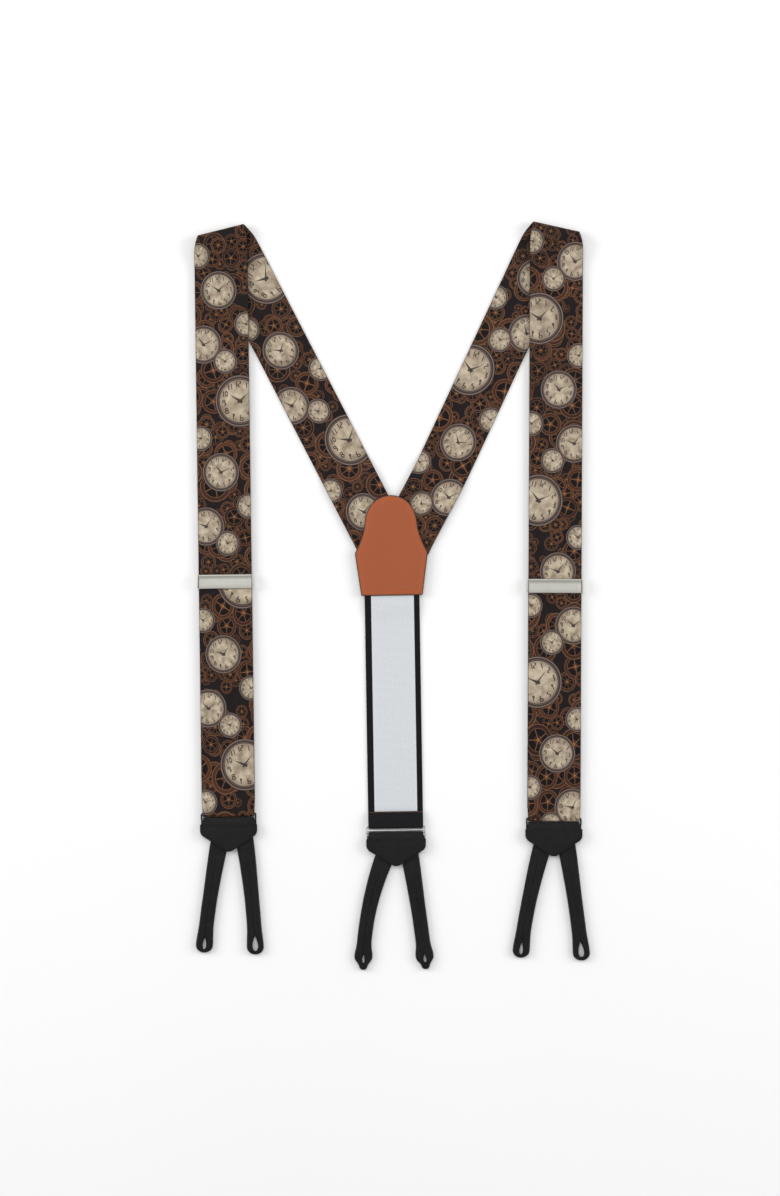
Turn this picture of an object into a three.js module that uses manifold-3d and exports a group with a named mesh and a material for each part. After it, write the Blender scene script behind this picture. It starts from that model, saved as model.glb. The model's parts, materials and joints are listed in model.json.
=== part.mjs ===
// A pair of button-on dress suspenders, folded at the shoulders and laid flat.
// Millimetres. +X across the front, +Y from the button loops to the shoulder folds, +Z up from the table.

import * as THREE from 'three';
import Module from 'manifold-3d';
import { mergeVertices } from 'three/addons/utils/BufferGeometryUtils.js';

const wasm = await Module();
wasm.setup();

// Driving dimensions
const STRAP_WIDTH = 37.4;
const STRAP_THICK = 1.2;
const GAP = 0.3;                                    // clearance between neighbours
const BOTTOM_PLY = STRAP_THICK / 2;                 // mid height of a ply that lies on the table
const TOP_PLY = 3.0;                                // mid height of the front ply
const SEWN_PLY = 2.1;                               // mid height of a ply sewn between the patch leaves
const FOLD_RADIUS = 3.2;                            // of the strap's middle over the shoulder fold
const FOLD_DROP = 22;                               // length in which the front ply comes down from the fold
const FOLD_FRONT_END = 34;                          // strap lengths from the fold's corner to the node's ends
const FOLD_BACK_END = 16;
const RING_WIRE = 1.2;
const BEND_RADIUS = RING_WIRE / 2 + GAP + STRAP_THICK / 2;
const BEND_HEIGHT = BEND_RADIUS + BOTTOM_PLY;       // of the ring's wire above the table
const BEND_LENGTH = 14;
const RING_MARGIN = 3.4;                            // how much wider a ring is than the strap in it
const TAB_WIDTH = 40.2;
const BACK_TAB_WIDTH = 42;
const RING_PITCH = 4.8;                             // between the ring's two bars
const BACK_RING_PITCH = 6.6;
const PATCH_THICK = 1.2;
const PATCH_BOTTOM = 0.3;
const PATCH_TOP = 70.9;
const SEAM_LEVEL = 28.5;                            // where the straps end and the elastic starts, under the patch
const ELASTIC_WIDTH = 38.6;
const ELASTIC_RING = -161.7;
const LEAF_THICK = 1.1;
const TAB_DEPTH = 22.4;                             // from the ring's lower bar to the tab's point
const TAB_SIDE = 9.8;                               // and to the end of its straight sides
const LOOP_THICK = 3.6;
const LOOP_ROOT_THICK = 1.8;

// Each shoulder: where the middle of the strap crosses itself, the way each leg runs, in degrees from -Y, and how
// far the back leg bends sideways as it nears the patch
const SHOULDERS = {
  left: { corner: [-119.4, 259.0], frontAngle: 0.77, backAngle: 27.3, adjuster: 249.0, ring: 412.3, sway: 0 },
  right: { corner: [117.1, 261.2], frontAngle: -0.26, backAngle: -25.0, adjuster: 254.3, ring: 417.8, sway: -2.6 },
};
const BACK_LEG = { origin: [1.25, 0], angle: 0.94 };

// Each pair of button loops: how far from the tab's middle each leaves it and ends, its length, how soon it
// straightens, and its eye
const NARROW_EYE = { width: 2.4, length: 8.6, above: 2.4 };
const WIDE_EYE = { width: 3.8, length: 11, above: 2.4 };
const SHORT_EYE = { width: 1.8, length: 5.8, above: 5 };
const LOOPS = {
  left: [{ name: 'loop_outer', from: -5.4, to: -18.6, length: 83.9, bow: 1.3, eye: NARROW_EYE },
    { name: 'loop_inner', from: 10.5, to: 17.7, length: 85.7, bow: 1.6, eye: WIDE_EYE }],
  right: [{ name: 'loop_inner', from: -6.5, to: -22.9, length: 84.5, bow: 1.4, eye: NARROW_EYE },
    { name: 'loop_outer', from: 8.2, to: 20.3, length: 86.3, bow: 1.2, eye: WIDE_EYE }],
  back: [{ name: 'loop_left', from: -5.4, to: -24.5, length: 85.8, bow: 2, eye: SHORT_EYE },
    { name: 'loop_right', from: 8.8, to: 19.6, length: 86.0, bow: 1.2, eye: SHORT_EYE }],
};

const FINISHES = {
  print: { color: 0x4a3a2e, roughness: 0.62, metalness: 0 },
  elastic: { color: 0xd6d9dc, roughness: 0.85, metalness: 0 },
  elasticBlack: { color: 0x1d1e21, roughness: 0.85, metalness: 0 },
  patch: { color: 0xa4572f, roughness: 0.55, metalness: 0 },
  lining: { color: 0x2b2523, roughness: 0.8, metalness: 0 },
  leather: { color: 0x2a2a2d, roughness: 0.5, metalness: 0 },
  steel: { color: 0xc4c4ba, roughness: 0.35, metalness: 1 },
  darkSteel: { color: 0x3a3a3d, roughness: 0.4, metalness: 1 },
};

const radians = THREE.MathUtils.degToRad;
const direction = (degrees) => new THREE.Vector2(Math.sin(radians(degrees)), -Math.cos(radians(degrees)));

function named(name, geometry, finish) {
  const mesh = new THREE.Mesh(geometry, new THREE.MeshStandardMaterial(FINISHES[finish]));
  mesh.name = name;
  return mesh;
}

// Booleans: three.js geometry to a solid and back
function solid(geometry) {
  const bare = geometry.clone();
  bare.deleteAttribute('normal');
  bare.deleteAttribute('uv');
  const merged = mergeVertices(bare, 1e-5);
  return new wasm.Manifold(new wasm.Mesh({
    numProp: 3,
    vertProperties: new Float32Array(merged.attributes.position.array),
    triVerts: new Uint32Array(merged.index.array),
  }));
}

function geometryOf(manifold) {
  const mesh = manifold.getMesh();
  const geometry = new THREE.BufferGeometry();
  geometry.setAttribute('position', new THREE.BufferAttribute(new Float32Array(mesh.vertProperties), 3));
  geometry.setIndex(new THREE.BufferAttribute(new Uint32Array(mesh.triVerts), 1));
  const flat = geometry.toNonIndexed();
  flat.computeVertexNormals();
  return flat;
}

function box(x, y, z) {
  return new THREE.BoxGeometry(x[1] - x[0], y[1] - y[0], z[1] - z[0])
    .translate((x[0] + x[1]) / 2, (y[0] + y[1]) / 2, (z[0] + z[1]) / 2);
}

function rod(radius, length, y, z, sides = 20) {
  return new THREE.CylinderGeometry(radius, radius, length, sides).rotateZ(Math.PI / 2).translate(0, y, z);
}

// A closed solid between two grids of points: rows of [x, y, z], the same number in each
function gridSolid(lower, upper) {
  const rows = lower.length;
  const columns = lower[0].length;
  const positions = [...lower.flat(), ...upper.flat()].flat();
  const index = [];
  const low = (i, j) => i * columns + j;
  const high = (i, j) => rows * columns + low(i, j);
  const quad = (a, b, c, d) => index.push(a, b, c, a, c, d);
  for (let i = 0; i < rows - 1; i += 1) {
    for (let j = 0; j < columns - 1; j += 1) {
      quad(high(i, j), high(i + 1, j), high(i + 1, j + 1), high(i, j + 1));
      quad(low(i, j), low(i, j + 1), low(i + 1, j + 1), low(i + 1, j));
    }
    quad(low(i, 0), low(i + 1, 0), high(i + 1, 0), high(i, 0));
    quad(low(i + 1, columns - 1), low(i, columns - 1), high(i, columns - 1), high(i + 1, columns - 1));
  }
  for (let j = 0; j < columns - 1; j += 1) {
    quad(low(0, j + 1), low(0, j), high(0, j), high(0, j + 1));
    quad(low(rows - 1, j), low(rows - 1, j + 1), high(rows - 1, j + 1), high(rows - 1, j));
  }
  const geometry = new THREE.BufferGeometry();
  geometry.setAttribute('position', new THREE.Float32BufferAttribute(positions, 3));
  geometry.setIndex(index);
  geometry.computeVertexNormals();
  return geometry;
}

// A ply of cloth or leather: a side line of [y, z] points that starts towards -Y, given thickness and width
function ply(line, thickness, width) {
  const sides = line.map(([y, z], i) => {
    const before = line[Math.max(i - 1, 0)];
    const after = line[Math.min(i + 1, line.length - 1)];
    const along = new THREE.Vector2(after[0] - before[0], after[1] - before[1]).normalize();
    const reach = thickness / 2;
    return { over: [y + along.y * reach, z - along.x * reach], under: [y - along.y * reach, z + along.x * reach] };
  });
  const across = (point) => [-width / 2, width / 2].map((x) => [x, point[0], point[1]]);
  return gridSolid(sides.map((s) => across(s.under)), sides.map((s) => across(s.over)));
}

const smooth = (t) => t * t * (3 - 2 * t);

// A side line that eases from one height to another between two places
function easedLine(y0, z0, y1, z1, steps = 8) {
  return Array.from({ length: steps + 1 }, (_, i) => {
    const t = i / steps;
    return [y0 + (y1 - y0) * t, z0 + (z1 - z0) * smooth(t)];
  });
}

// The half turn of a ply under a ring's bar at y, from the upper ply to the lower one
function halfTurn(y, steps = 12, way = -1) {
  return Array.from({ length: steps + 1 }, (_, i) => {
    const angle = Math.PI / 2 - (Math.PI * i) / steps;
    return [y + way * BEND_RADIUS * Math.cos(angle), BEND_HEIGHT + BEND_RADIUS * Math.sin(angle)];
  });
}

// The strap over the shoulder: a flat band rolled over a cylinder whose axis halves the angle of its legs
function shoulderFold({ corner, frontAngle, backAngle }) {
  const middle = direction((frontAngle + backAngle) / 2);
  const axis = new THREE.Vector2(-middle.y, middle.x);
  const lean = radians((frontAngle - backAngle) / 2);
  const quarter = (Math.PI / 2) * FOLD_RADIUS;
  const centreHeight = BOTTOM_PLY + FOLD_RADIUS;

  // place and normal, across the fold's axis, at arc length c: positive on the front leg
  const profile = (c) => {
    if (Math.abs(c) < quarter) {
      const angle = c / FOLD_RADIUS;
      return { down: -FOLD_RADIUS * Math.cos(angle), z: centreHeight + FOLD_RADIUS * Math.sin(angle), angle };
    }
    if (c < 0) return { down: -c - quarter, z: BOTTOM_PLY, angle: -Math.PI / 2 };
    const t = Math.min((c - quarter) / FOLD_DROP, 1);
    const fall = centreHeight + FOLD_RADIUS - TOP_PLY;
    const slope = (fall * 6 * t * (1 - t)) / FOLD_DROP;
    return { down: c - quarter, z: TOP_PLY + fall * (1 - smooth(t)), angle: Math.PI / 2 - Math.atan(slope) };
  };
  const point = (s, t, offset) => {
    const a = s * Math.sin(lean) + t * Math.cos(lean);
    const at = profile(s * Math.cos(lean) - t * Math.sin(lean));
    const out = new THREE.Vector2(-Math.cos(at.angle), Math.sin(at.angle)).multiplyScalar(offset);
    const down = at.down + out.x + quarter;
    return [corner[0] + axis.x * a + middle.x * down, corner[1] + axis.y * a + middle.y * down, at.z + out.y];
  };
  const steps = 40;
  const across = 10;
  const grid = (offset) => Array.from({ length: steps + 1 }, (_, i) => {
    const s = -FOLD_BACK_END + ((FOLD_FRONT_END + FOLD_BACK_END) * i) / steps;
    return Array.from({ length: across + 1 }, (__, j) => point(s, STRAP_WIDTH * (j / across - 0.5), offset));
  });
  return gridSolid(grid(-STRAP_THICK / 2), grid(STRAP_THICK / 2));
}

// The printed strap from the shoulder fold down into the patch, cut off along the patch's middle
function backStrap(shoulder) {
  const { corner, backAngle, sway } = shoulder;
  const way = direction(backAngle);
  const reach = (corner[1] - SEAM_LEVEL) / -way.y + 12;
  const line = [[-FOLD_BACK_END - GAP, BOTTOM_PLY], ...easedLine(-reach + 85, BOTTOM_PLY, -reach + 70, SEWN_PLY),
    ...easedLine(-reach + 60, SEWN_PLY, -reach, SEWN_PLY, 6)];
  const strap = ply(line, STRAP_THICK, STRAP_WIDTH);
  const places = strap.attributes.position;
  for (let i = 0; i < places.count; i += 1) {
    const share = THREE.MathUtils.clamp((-reach + 85 - places.getY(i)) / 70, 0, 1);
    places.setX(i, places.getX(i) + sway * smooth(share));
  }
  strap.rotateZ(radians(backAngle)).translate(corner[0], corner[1], 0);
  const side = Math.sign(corner[0]);
  const inner = -side * 100;
  const edge = BACK_LEG.origin[0] + (side * GAP) / 2;
  const beyond = box([Math.min(edge, edge + inner), Math.max(edge, edge + inner)], [-60, 120], [-5, 12]);
  const below = box([-150, 150], [-60, SEAM_LEVEL + GAP], [-5, 12]);
  return geometryOf(solid(strap).subtract(solid(beyond)).subtract(solid(below)));
}

// A rectangular wire ring: round corners, bars across X at y and y - pitch
function wireRing(width, y, pitch) {
  const wire = RING_WIRE / 2;
  const corner = 0.8;
  const half = width / 2 - wire;
  const centres = [[half - corner, y - corner], [-half + corner, y - corner],
    [-half + corner, y - pitch + corner], [half - corner, y - pitch + corner]];
  const path = centres.flatMap(([cx, cy], quarter) => Array.from({ length: 6 }, (_, i) => {
    const angle = (quarter + i / 5) * (Math.PI / 2);
    return new THREE.Vector2(cx + corner * Math.cos(angle), cy + corner * Math.sin(angle));
  }));
  const sides = 10;
  const positions = [];
  const index = [];
  path.forEach((at, i) => {
    const along = path[(i + 1) % path.length].clone().sub(path[(i + path.length - 1) % path.length]).normalize();
    for (let k = 0; k < sides; k += 1) {
      const angle = (2 * Math.PI * k) / sides;
      const out = wire * Math.cos(angle);
      positions.push(at.x + along.y * out, at.y - along.x * out, BEND_HEIGHT + wire * Math.sin(angle));
      const [a, b] = [i * sides + k, i * sides + ((k + 1) % sides)];
      const [c, d] = [((i + 1) % path.length) * sides + k, ((i + 1) % path.length) * sides + ((k + 1) % sides)];
      index.push(a, c, b, b, c, d);
    }
  });
  const geometry = new THREE.BufferGeometry();
  geometry.setAttribute('position', new THREE.Float32BufferAttribute(positions, 3));
  geometry.setIndex(index);
  geometry.computeVertexNormals();
  return geometry;
}

// The adjuster: a back frame with two ears, a toothed front plate, and the pin that the plate swings on
const ADJUSTER = {
  height: 9, plate: 0.6, inner: 37.9, ear: 0.6, pinRadius: 0.45, knuckle: 0.9, pinY: 4.3, teeth: 16, bottom: -4.9,
};
const PLATE_BOTTOM = TOP_PLY + STRAP_THICK / 2 + GAP;
const PIN_Z = PLATE_BOTTOM + ADJUSTER.knuckle;

function adjusterFrame() {
  const { height, plate, inner, ear, pinRadius, pinY } = ADJUSTER;
  const low = STRAP_THICK + GAP;
  const outer = inner / 2 + ear;
  const floorPlate = box([-outer, outer], [-height / 2, height / 2], [low, low + plate]);
  const ears = [-1, 1].map((side) => {
    const x = [side * (inner / 2), side * outer].sort((a, b) => a - b);
    return box(x, [-height / 2, pinY + 1.1], [low, PIN_Z + 0.9]);
  });
  const joined = ears.reduce((sum, one) => sum.add(solid(one)), solid(floorPlate));
  return geometryOf(joined.subtract(solid(rod(pinRadius + 0.06, 60, pinY, PIN_Z))));
}

function adjusterPlate() {
  const { inner, pinRadius, knuckle, pinY, teeth, bottom } = ADJUSTER;
  const half = inner / 2 - GAP;
  let plate = solid(box([-half, half], [bottom, pinY], [PLATE_BOTTOM, PLATE_BOTTOM + 1]))
    .add(solid(rod(knuckle, 2 * half, pinY, PIN_Z)));
  for (let i = 0; i < teeth; i += 1) {
    const x = -half + 2 + ((2 * half - 4) * i) / (teeth - 1);
    const tooth = new THREE.ConeGeometry(0.5, 1.2, 4).rotateX(-Math.PI / 2)
      .translate(x, bottom + 1, PLATE_BOTTOM + 0.42);
    plate = plate.add(solid(tooth));
  }
  return geometryOf(plate.subtract(solid(rod(pinRadius + 0.08, 60, pinY, PIN_Z))));
}

function adjusterPin() {
  const { inner, ear, pinRadius, pinY } = ADJUSTER;
  return rod(pinRadius, inner + 2 * ear, pinY, PIN_Z);
}

// The leather tab's outline, from its top to its point under the ring's lower bar
function tabShape(width, top, bar) {
  const half = width / 2;
  const round = 2.6;
  const side = bar - TAB_SIDE;
  const tip = bar - TAB_DEPTH;
  const shape = new THREE.Shape();
  shape.moveTo(-half, top);
  shape.lineTo(-half, side + round);
  shape.quadraticCurveTo(-half, side, -half + round, side - round * 0.62);
  shape.lineTo(-2.4, tip + 1.1);
  shape.quadraticCurveTo(0, tip, 2.4, tip + 1.1);
  shape.lineTo(half - round, side - round * 0.62);
  shape.quadraticCurveTo(half, side, half, side + round);
  shape.lineTo(half, top);
  shape.closePath();
  return shape;
}

function slab(shape, low, high, curveSegments = 8) {
  return new THREE.ExtrudeGeometry(shape, { depth: high - low, bevelEnabled: false, curveSegments })
    .translate(0, 0, low);
}

const LINING_TOP = LEAF_THICK;
const ROOT_LOW = LINING_TOP + GAP;
const COVER_LOW = ROOT_LOW + LOOP_ROOT_THICK + GAP;
const ROLL_LENGTH = 5.4;

// The front leaf of a tab, rolled over the ring's lower bar and back under it
function tabCover(width, rollWidth, bar) {
  const rollEnd = bar - ROLL_LENGTH;
  const over = easedLine(rollEnd, COVER_LOW + LEAF_THICK / 2, bar - 0.6, BEND_HEIGHT + BEND_RADIUS, 5);
  const line = [...over, ...halfTurn(bar, 12, 1)].reverse();
  const roll = ply(line, LEAF_THICK, rollWidth);
  const leaf = slab(tabShape(width, rollEnd + 0.8, bar), COVER_LOW, COVER_LOW + LEAF_THICK);
  return geometryOf(solid(roll).add(solid(leaf)));
}

function tabLining(width, bar) {
  return slab(tabShape(width - 1.2, bar - GAP, bar), 0, LINING_TOP);
}

// A button loop: a doubled leather leg that splays out from the tab, with an eye slit at its end
function buttonLoop({ from, to, length, bow, eye }, bar) {
  const rootTop = bar - 9;
  const steps = 22;
  const section = 10;
  const lower = [];
  const upper = [];
  for (let i = 0; i <= steps; i += 1) {
    const t = i / steps;
    const y = rootTop - length * t;
    const x = from + (to - from) * (1 - (1 - t) ** bow);
    const slant = ((to - from) * bow * (1 - t) ** (bow - 1)) / length;
    const end = Math.max(0, (t - 0.93) / 0.07);
    const waist = 6.2 - 1.1 * smooth(Math.min(t / 0.6, 1)) + 0.9 * smooth(Math.max(0, (t - 0.75) / 0.25));
    const half = waist * Math.sqrt(Math.max(1 - end * end * 0.9, 0.1));
    const out = smooth(THREE.MathUtils.clamp((bar - TAB_DEPTH - 0.6 - y) / 6, 0, 1));
    const low = ROOT_LOW * (1 - out);
    const high = ROOT_LOW + LOOP_ROOT_THICK + (LOOP_THICK - ROOT_LOW - LOOP_ROOT_THICK) * out;
    const across = Array.from({ length: section + 1 }, (_, j) => -1 + (2 * j) / section);
    const crown = (u) => Math.max(0, Math.abs(u) - 0.6) / 0.4;
    const place = (u, z) => [x + u * half, y + u * half * slant, z];
    lower.push(across.map((u) => place(u, low + crown(u) ** 2 * (high - low) * 0.3)));
    upper.push(across.map((u) => place(u, high - crown(u) ** 2 * (high - low) * 0.3)));
  }
  const leg = solid(gridSolid(lower, upper));
  const slitY = rootTop - length + eye.above + eye.length / 2;
  const t = (rootTop - slitY) / length;
  const slitX = from + (to - from) * (1 - (1 - t) ** bow);
  const slit = new THREE.Shape();
  slit.absellipse(0, 0, eye.width / 2, eye.length / 2, 0, 2 * Math.PI);
  const cutter = slab(slit, -2, 8, 10).rotateZ(-((to - from) * 0.5) / length).translate(slitX, slitY, 0);
  return geometryOf(leg.subtract(solid(cutter)));
}

function tabParts(prefix, width, strap, bar, loops) {
  return [
    named(`${prefix}_tab_cover`, tabCover(width, strap + GAP, bar), 'leather'),
    named(`${prefix}_tab_lining`, tabLining(width, bar), 'leather'),
    ...loops.map((loop) => named(`${prefix}_${loop.name}`, buttonLoop(loop, bar), 'leather')),
  ];
}

function frontLeg(side, shoulder) {
  const leg = new THREE.Group();
  leg.position.set(shoulder.corner[0], shoulder.corner[1], 0);
  leg.rotation.z = radians(shoulder.frontAngle);
  const { ring, adjuster } = shoulder;
  const bendTop = -ring + BEND_LENGTH;
  const frontLine = [[-FOLD_FRONT_END - GAP, TOP_PLY], [bendTop + GAP, TOP_PLY]];
  const returnLine = [[-adjuster + 3, BOTTOM_PLY], [bendTop + GAP, BOTTOM_PLY]];
  const bendLine = [...easedLine(bendTop, TOP_PLY, -ring + 2, BEND_HEIGHT + BEND_RADIUS), ...halfTurn(-ring),
    [bendTop, BOTTOM_PLY]];
  leg.add(
    named(`${side}_front_strap`, ply(frontLine, STRAP_THICK, STRAP_WIDTH), 'print'),
    named(`${side}_strap_bend`, ply(bendLine, STRAP_THICK, STRAP_WIDTH), 'print'),
    named(`${side}_return_strap`, ply(returnLine, STRAP_THICK, STRAP_WIDTH), 'print'),
    named(`${side}_ring`, wireRing(STRAP_WIDTH + RING_MARGIN, -ring, RING_PITCH), 'darkSteel'),
    ...tabParts(side, TAB_WIDTH, STRAP_WIDTH, -ring - RING_PITCH, LOOPS[side]),
  );
  const buckle = new THREE.Group();
  buckle.position.y = -adjuster;
  buckle.add(
    named(`${side}_adjuster_frame`, adjusterFrame(), 'steel'),
    named(`${side}_adjuster_plate`, adjusterPlate(), 'steel'),
    named(`${side}_adjuster_pin`, adjusterPin(), 'steel'),
  );
  leg.add(buckle);
  return leg;
}

function patchShape(inset) {
  const shape = new THREE.Shape();
  const half = (x) => x - inset;
  const top = PATCH_TOP - inset;
  const bottom = PATCH_BOTTOM + inset;
  shape.moveTo(-half(20.4), bottom);
  shape.quadraticCurveTo(-half(21.7), bottom, -half(21.8), bottom + 1.3);
  shape.lineTo(-half(25.5), 29);
  shape.quadraticCurveTo(-half(25.9), 30.6, -half(25), 31.6);
  shape.quadraticCurveTo(-half(20.4), 40.5, -half(18.8), 48.5);
  shape.bezierCurveTo(-half(18.4), 61, -half(12.2), top, 0, top);
  shape.bezierCurveTo(half(12.2), top, half(18.4), 61, half(18.8), 48.5);
  shape.quadraticCurveTo(half(20.4), 40.5, half(25), 31.6);
  shape.quadraticCurveTo(half(25.9), 30.6, half(25.5), 29);
  shape.lineTo(half(21.8), bottom + 1.3);
  shape.quadraticCurveTo(half(21.7), bottom, half(20.4), bottom);
  shape.closePath();
  return shape;
}

function backLeg() {
  const leg = new THREE.Group();
  leg.position.set(BACK_LEG.origin[0], BACK_LEG.origin[1], 0);
  leg.rotation.z = radians(BACK_LEG.angle);
  const frontLow = SEWN_PLY + STRAP_THICK / 2 + GAP;
  const bendTop = ELASTIC_RING + 3;
  const webLine = [[SEAM_LEVEL - GAP, SEWN_PLY], ...easedLine(-4, SEWN_PLY, -20, BOTTOM_PLY),
    [bendTop + GAP, BOTTOM_PLY]];
  const bendLine = [[bendTop, BEND_HEIGHT + BEND_RADIUS - 0.3], ...halfTurn(ELASTIC_RING), [bendTop, BOTTOM_PLY]];
  const flapLine = easedLine(ELASTIC_RING + 10, SEWN_PLY, bendTop + GAP, BEND_HEIGHT + BEND_RADIUS - 0.4, 5);
  const bar = ELASTIC_RING - BACK_RING_PITCH;
  const ringWidth = ELASTIC_WIDTH + RING_MARGIN;
  const middleBar = rod(0.5, ringWidth - RING_WIRE, (ELASTIC_RING + bar) / 2, BEND_HEIGHT, 12);
  const doubleRing = geometryOf(solid(wireRing(ringWidth, ELASTIC_RING, BACK_RING_PITCH)).add(solid(middleBar)));
  leg.add(
    named('patch_front', slab(patchShape(0), frontLow, frontLow + PATCH_THICK), 'patch'),
    named('patch_lining', slab(patchShape(0.4), 0, PATCH_THICK), 'lining'),
    named('elastic_web', ply(webLine, STRAP_THICK, ELASTIC_WIDTH), 'elastic'),
    named('elastic_bend', ply(bendLine, STRAP_THICK, ELASTIC_WIDTH), 'elasticBlack'),
    named('elastic_flap', ply(flapLine, STRAP_THICK, ELASTIC_WIDTH), 'elasticBlack'),
    named('back_ring', doubleRing, 'steel'),
    ...tabParts('back', BACK_TAB_WIDTH, ELASTIC_WIDTH, bar, LOOPS.back),
  );
  return leg;
}

const suspenders = new THREE.Group();
for (const [side, shoulder] of Object.entries(SHOULDERS)) {
  suspenders.add(
    named(`${side}_back_strap`, backStrap(shoulder), 'print'),
    named(`${side}_shoulder_fold`, shoulderFold(shoulder), 'print'),
    frontLeg(side, shoulder),
  );
}
suspenders.add(backLeg());

// The origin is under the middle of the whole piece
suspenders.updateMatrixWorld(true);
const extent = new THREE.Box3().setFromObject(suspenders, true);
const middle = extent.getCenter(new THREE.Vector3());
suspenders.position.set(-middle.x, -middle.y, -extent.min.z);

export default suspenders;
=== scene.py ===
"""Button-on dress suspenders, folded at the shoulders and laid flat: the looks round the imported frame."""

import json
import math

import bmesh
import bpy
import numpy as np
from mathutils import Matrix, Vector


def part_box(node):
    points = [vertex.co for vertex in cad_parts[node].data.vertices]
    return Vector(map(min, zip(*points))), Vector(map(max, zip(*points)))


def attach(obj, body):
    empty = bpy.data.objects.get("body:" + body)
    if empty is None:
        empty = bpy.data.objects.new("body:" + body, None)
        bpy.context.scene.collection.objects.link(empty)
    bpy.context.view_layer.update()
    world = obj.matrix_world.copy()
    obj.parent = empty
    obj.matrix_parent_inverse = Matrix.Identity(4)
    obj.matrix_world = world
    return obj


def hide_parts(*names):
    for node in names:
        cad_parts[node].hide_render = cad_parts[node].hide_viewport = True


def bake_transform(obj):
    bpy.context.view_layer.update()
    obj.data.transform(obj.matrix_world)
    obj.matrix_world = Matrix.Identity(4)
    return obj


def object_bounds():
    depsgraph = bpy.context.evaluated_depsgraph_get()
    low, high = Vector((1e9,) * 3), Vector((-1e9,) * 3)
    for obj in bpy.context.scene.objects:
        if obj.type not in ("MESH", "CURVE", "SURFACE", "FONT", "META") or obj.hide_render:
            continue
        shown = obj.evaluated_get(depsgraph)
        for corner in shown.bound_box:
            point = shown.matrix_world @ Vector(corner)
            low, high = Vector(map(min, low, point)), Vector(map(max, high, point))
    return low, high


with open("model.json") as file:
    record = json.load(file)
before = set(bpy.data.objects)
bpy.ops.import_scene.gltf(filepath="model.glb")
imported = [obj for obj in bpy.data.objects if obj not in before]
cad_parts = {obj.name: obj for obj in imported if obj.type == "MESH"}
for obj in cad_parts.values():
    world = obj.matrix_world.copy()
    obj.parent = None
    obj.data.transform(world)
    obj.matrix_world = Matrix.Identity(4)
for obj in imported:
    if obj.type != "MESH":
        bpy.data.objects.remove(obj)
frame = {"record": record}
CAD_BOX = [list(corner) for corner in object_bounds()]

MM = 0.001
JOINTS = {j["name"]: j for j in frame["record"]["behaviour"]["joints"]}

# ---------------------------------------------------------------- driving dimensions, in mm
STRAP_WIDTH = 37.4
CLOTH_THICK = 1.05
CAD_THICK = 1.2
BOTTOM_PLY = CAD_THICK / 2          # mid heights of the plies above the table
TOP_PLY = 3.0
SEWN_PLY = 2.1
FOLD_DROP = 22                      # length in which the front ply comes down from the fold
FOLD_FRONT_END = 34
BEND_RADIUS = 1.5                   # of a ply's middle round a ring's wire
BEND_HEIGHT = 2.1
BEND_LENGTH = 14
RING_WIRE = 1.2
RING_WIDTH = 39.2                   # of a front ring
RING_INSIDE = 18.1                  # half the width that a front tab has between its ring's sides
TAB_WIDTH, BACK_TAB_WIDTH = 40.2, 42.0
RING_PITCH = 4.8
BACK_RING_PITCH = 6.6
ELASTIC_WIDTH = 38.6
ELASTIC_BORDER = 4.2
ELASTIC_RING = -161.7               # where the elastic's ring is, up the back leg
PLATE_BELOW_PIN = 4.3               # from an adjuster's pin down to the middle of its plate
PATCH_LOW = 3.0                     # height of the patch leather's underside
PATCH_THICK = 1.2
LEAF_THICK = 1.1
LOOP_THICK = 3.6
STITCH = 2.1                        # pitch of the seams' stitches

# The print. One repeat of the cloth carries these dials: places along and across it in mm, and a size
PRINT_REPEAT = 128.0
PRINT_LENGTH = 600.0                # printed cloth in a leg of the strap, with what turns back behind it
LARGE_DIAL, DIAL, SMALL_DIAL = 17.5, 13.0, 8.5
DIAL_STRETCH = 1.06                 # how much longer than wide a dial is printed
MOTIF = [(12, 12, LARGE_DIAL), (38, -16, SMALL_DIAL), (62, -2, DIAL), (86, 17, SMALL_DIAL),
         (100, -13, DIAL), (112, 2, SMALL_DIAL)]
CLOTH_START = {"left": 18.0, "right": 74.0}         # where in the repeat each strap is cut
LEG_START = 52.0                    # how much further on in it the back leg begins
NO_DIAL = (9.0, 9.0, 1.0)
PRINT_BREAKS = {"left": 249.0, "right": 254.3}      # where the print starts afresh, under the adjuster
BELOW_START, BELOW_SPREAD = 611.0, 0.86             # the gears' place in the cloth below the break
RIGHT_START, REVERSE_START = 900.0, 2100.0          # how far off in it the right strap and the reverse lie
SHADE_STEP = 0.37                                   # sets the stains of one dial apart from the next


def smooth(t):
    t = min(max(t, 0.0), 1.0)
    return t * t * (3 - 2 * t)


def bell(x, centre, width):
    """1 where x is at centre, falling away to 0 over about width."""
    return math.exp(-((x - centre) / width) ** 2)


def rounded(share):
    """The height of a quarter circle: 0 at an edge, 1 where share reaches 1."""
    return math.sqrt(1 - (1 - min(share, 1)) ** 2)


# ---------------------------------------------------------------- node graphs written as formulas
class Number:
    """A socket's value in a node graph. Arithmetic on it adds Math nodes."""

    def __init__(self, graph, socket):
        self.graph, self.socket = graph, socket

    def __add__(self, other): return self.graph.math("ADD", self, other)
    def __radd__(self, other): return self.graph.math("ADD", other, self)
    def __sub__(self, other): return self.graph.math("SUBTRACT", self, other)
    def __rsub__(self, other): return self.graph.math("SUBTRACT", other, self)
    def __mul__(self, other): return self.graph.math("MULTIPLY", self, other)
    def __rmul__(self, other): return self.graph.math("MULTIPLY", other, self)
    def __truediv__(self, other): return self.graph.math("DIVIDE", self, other)
    def __rtruediv__(self, other): return self.graph.math("DIVIDE", other, self)


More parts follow.
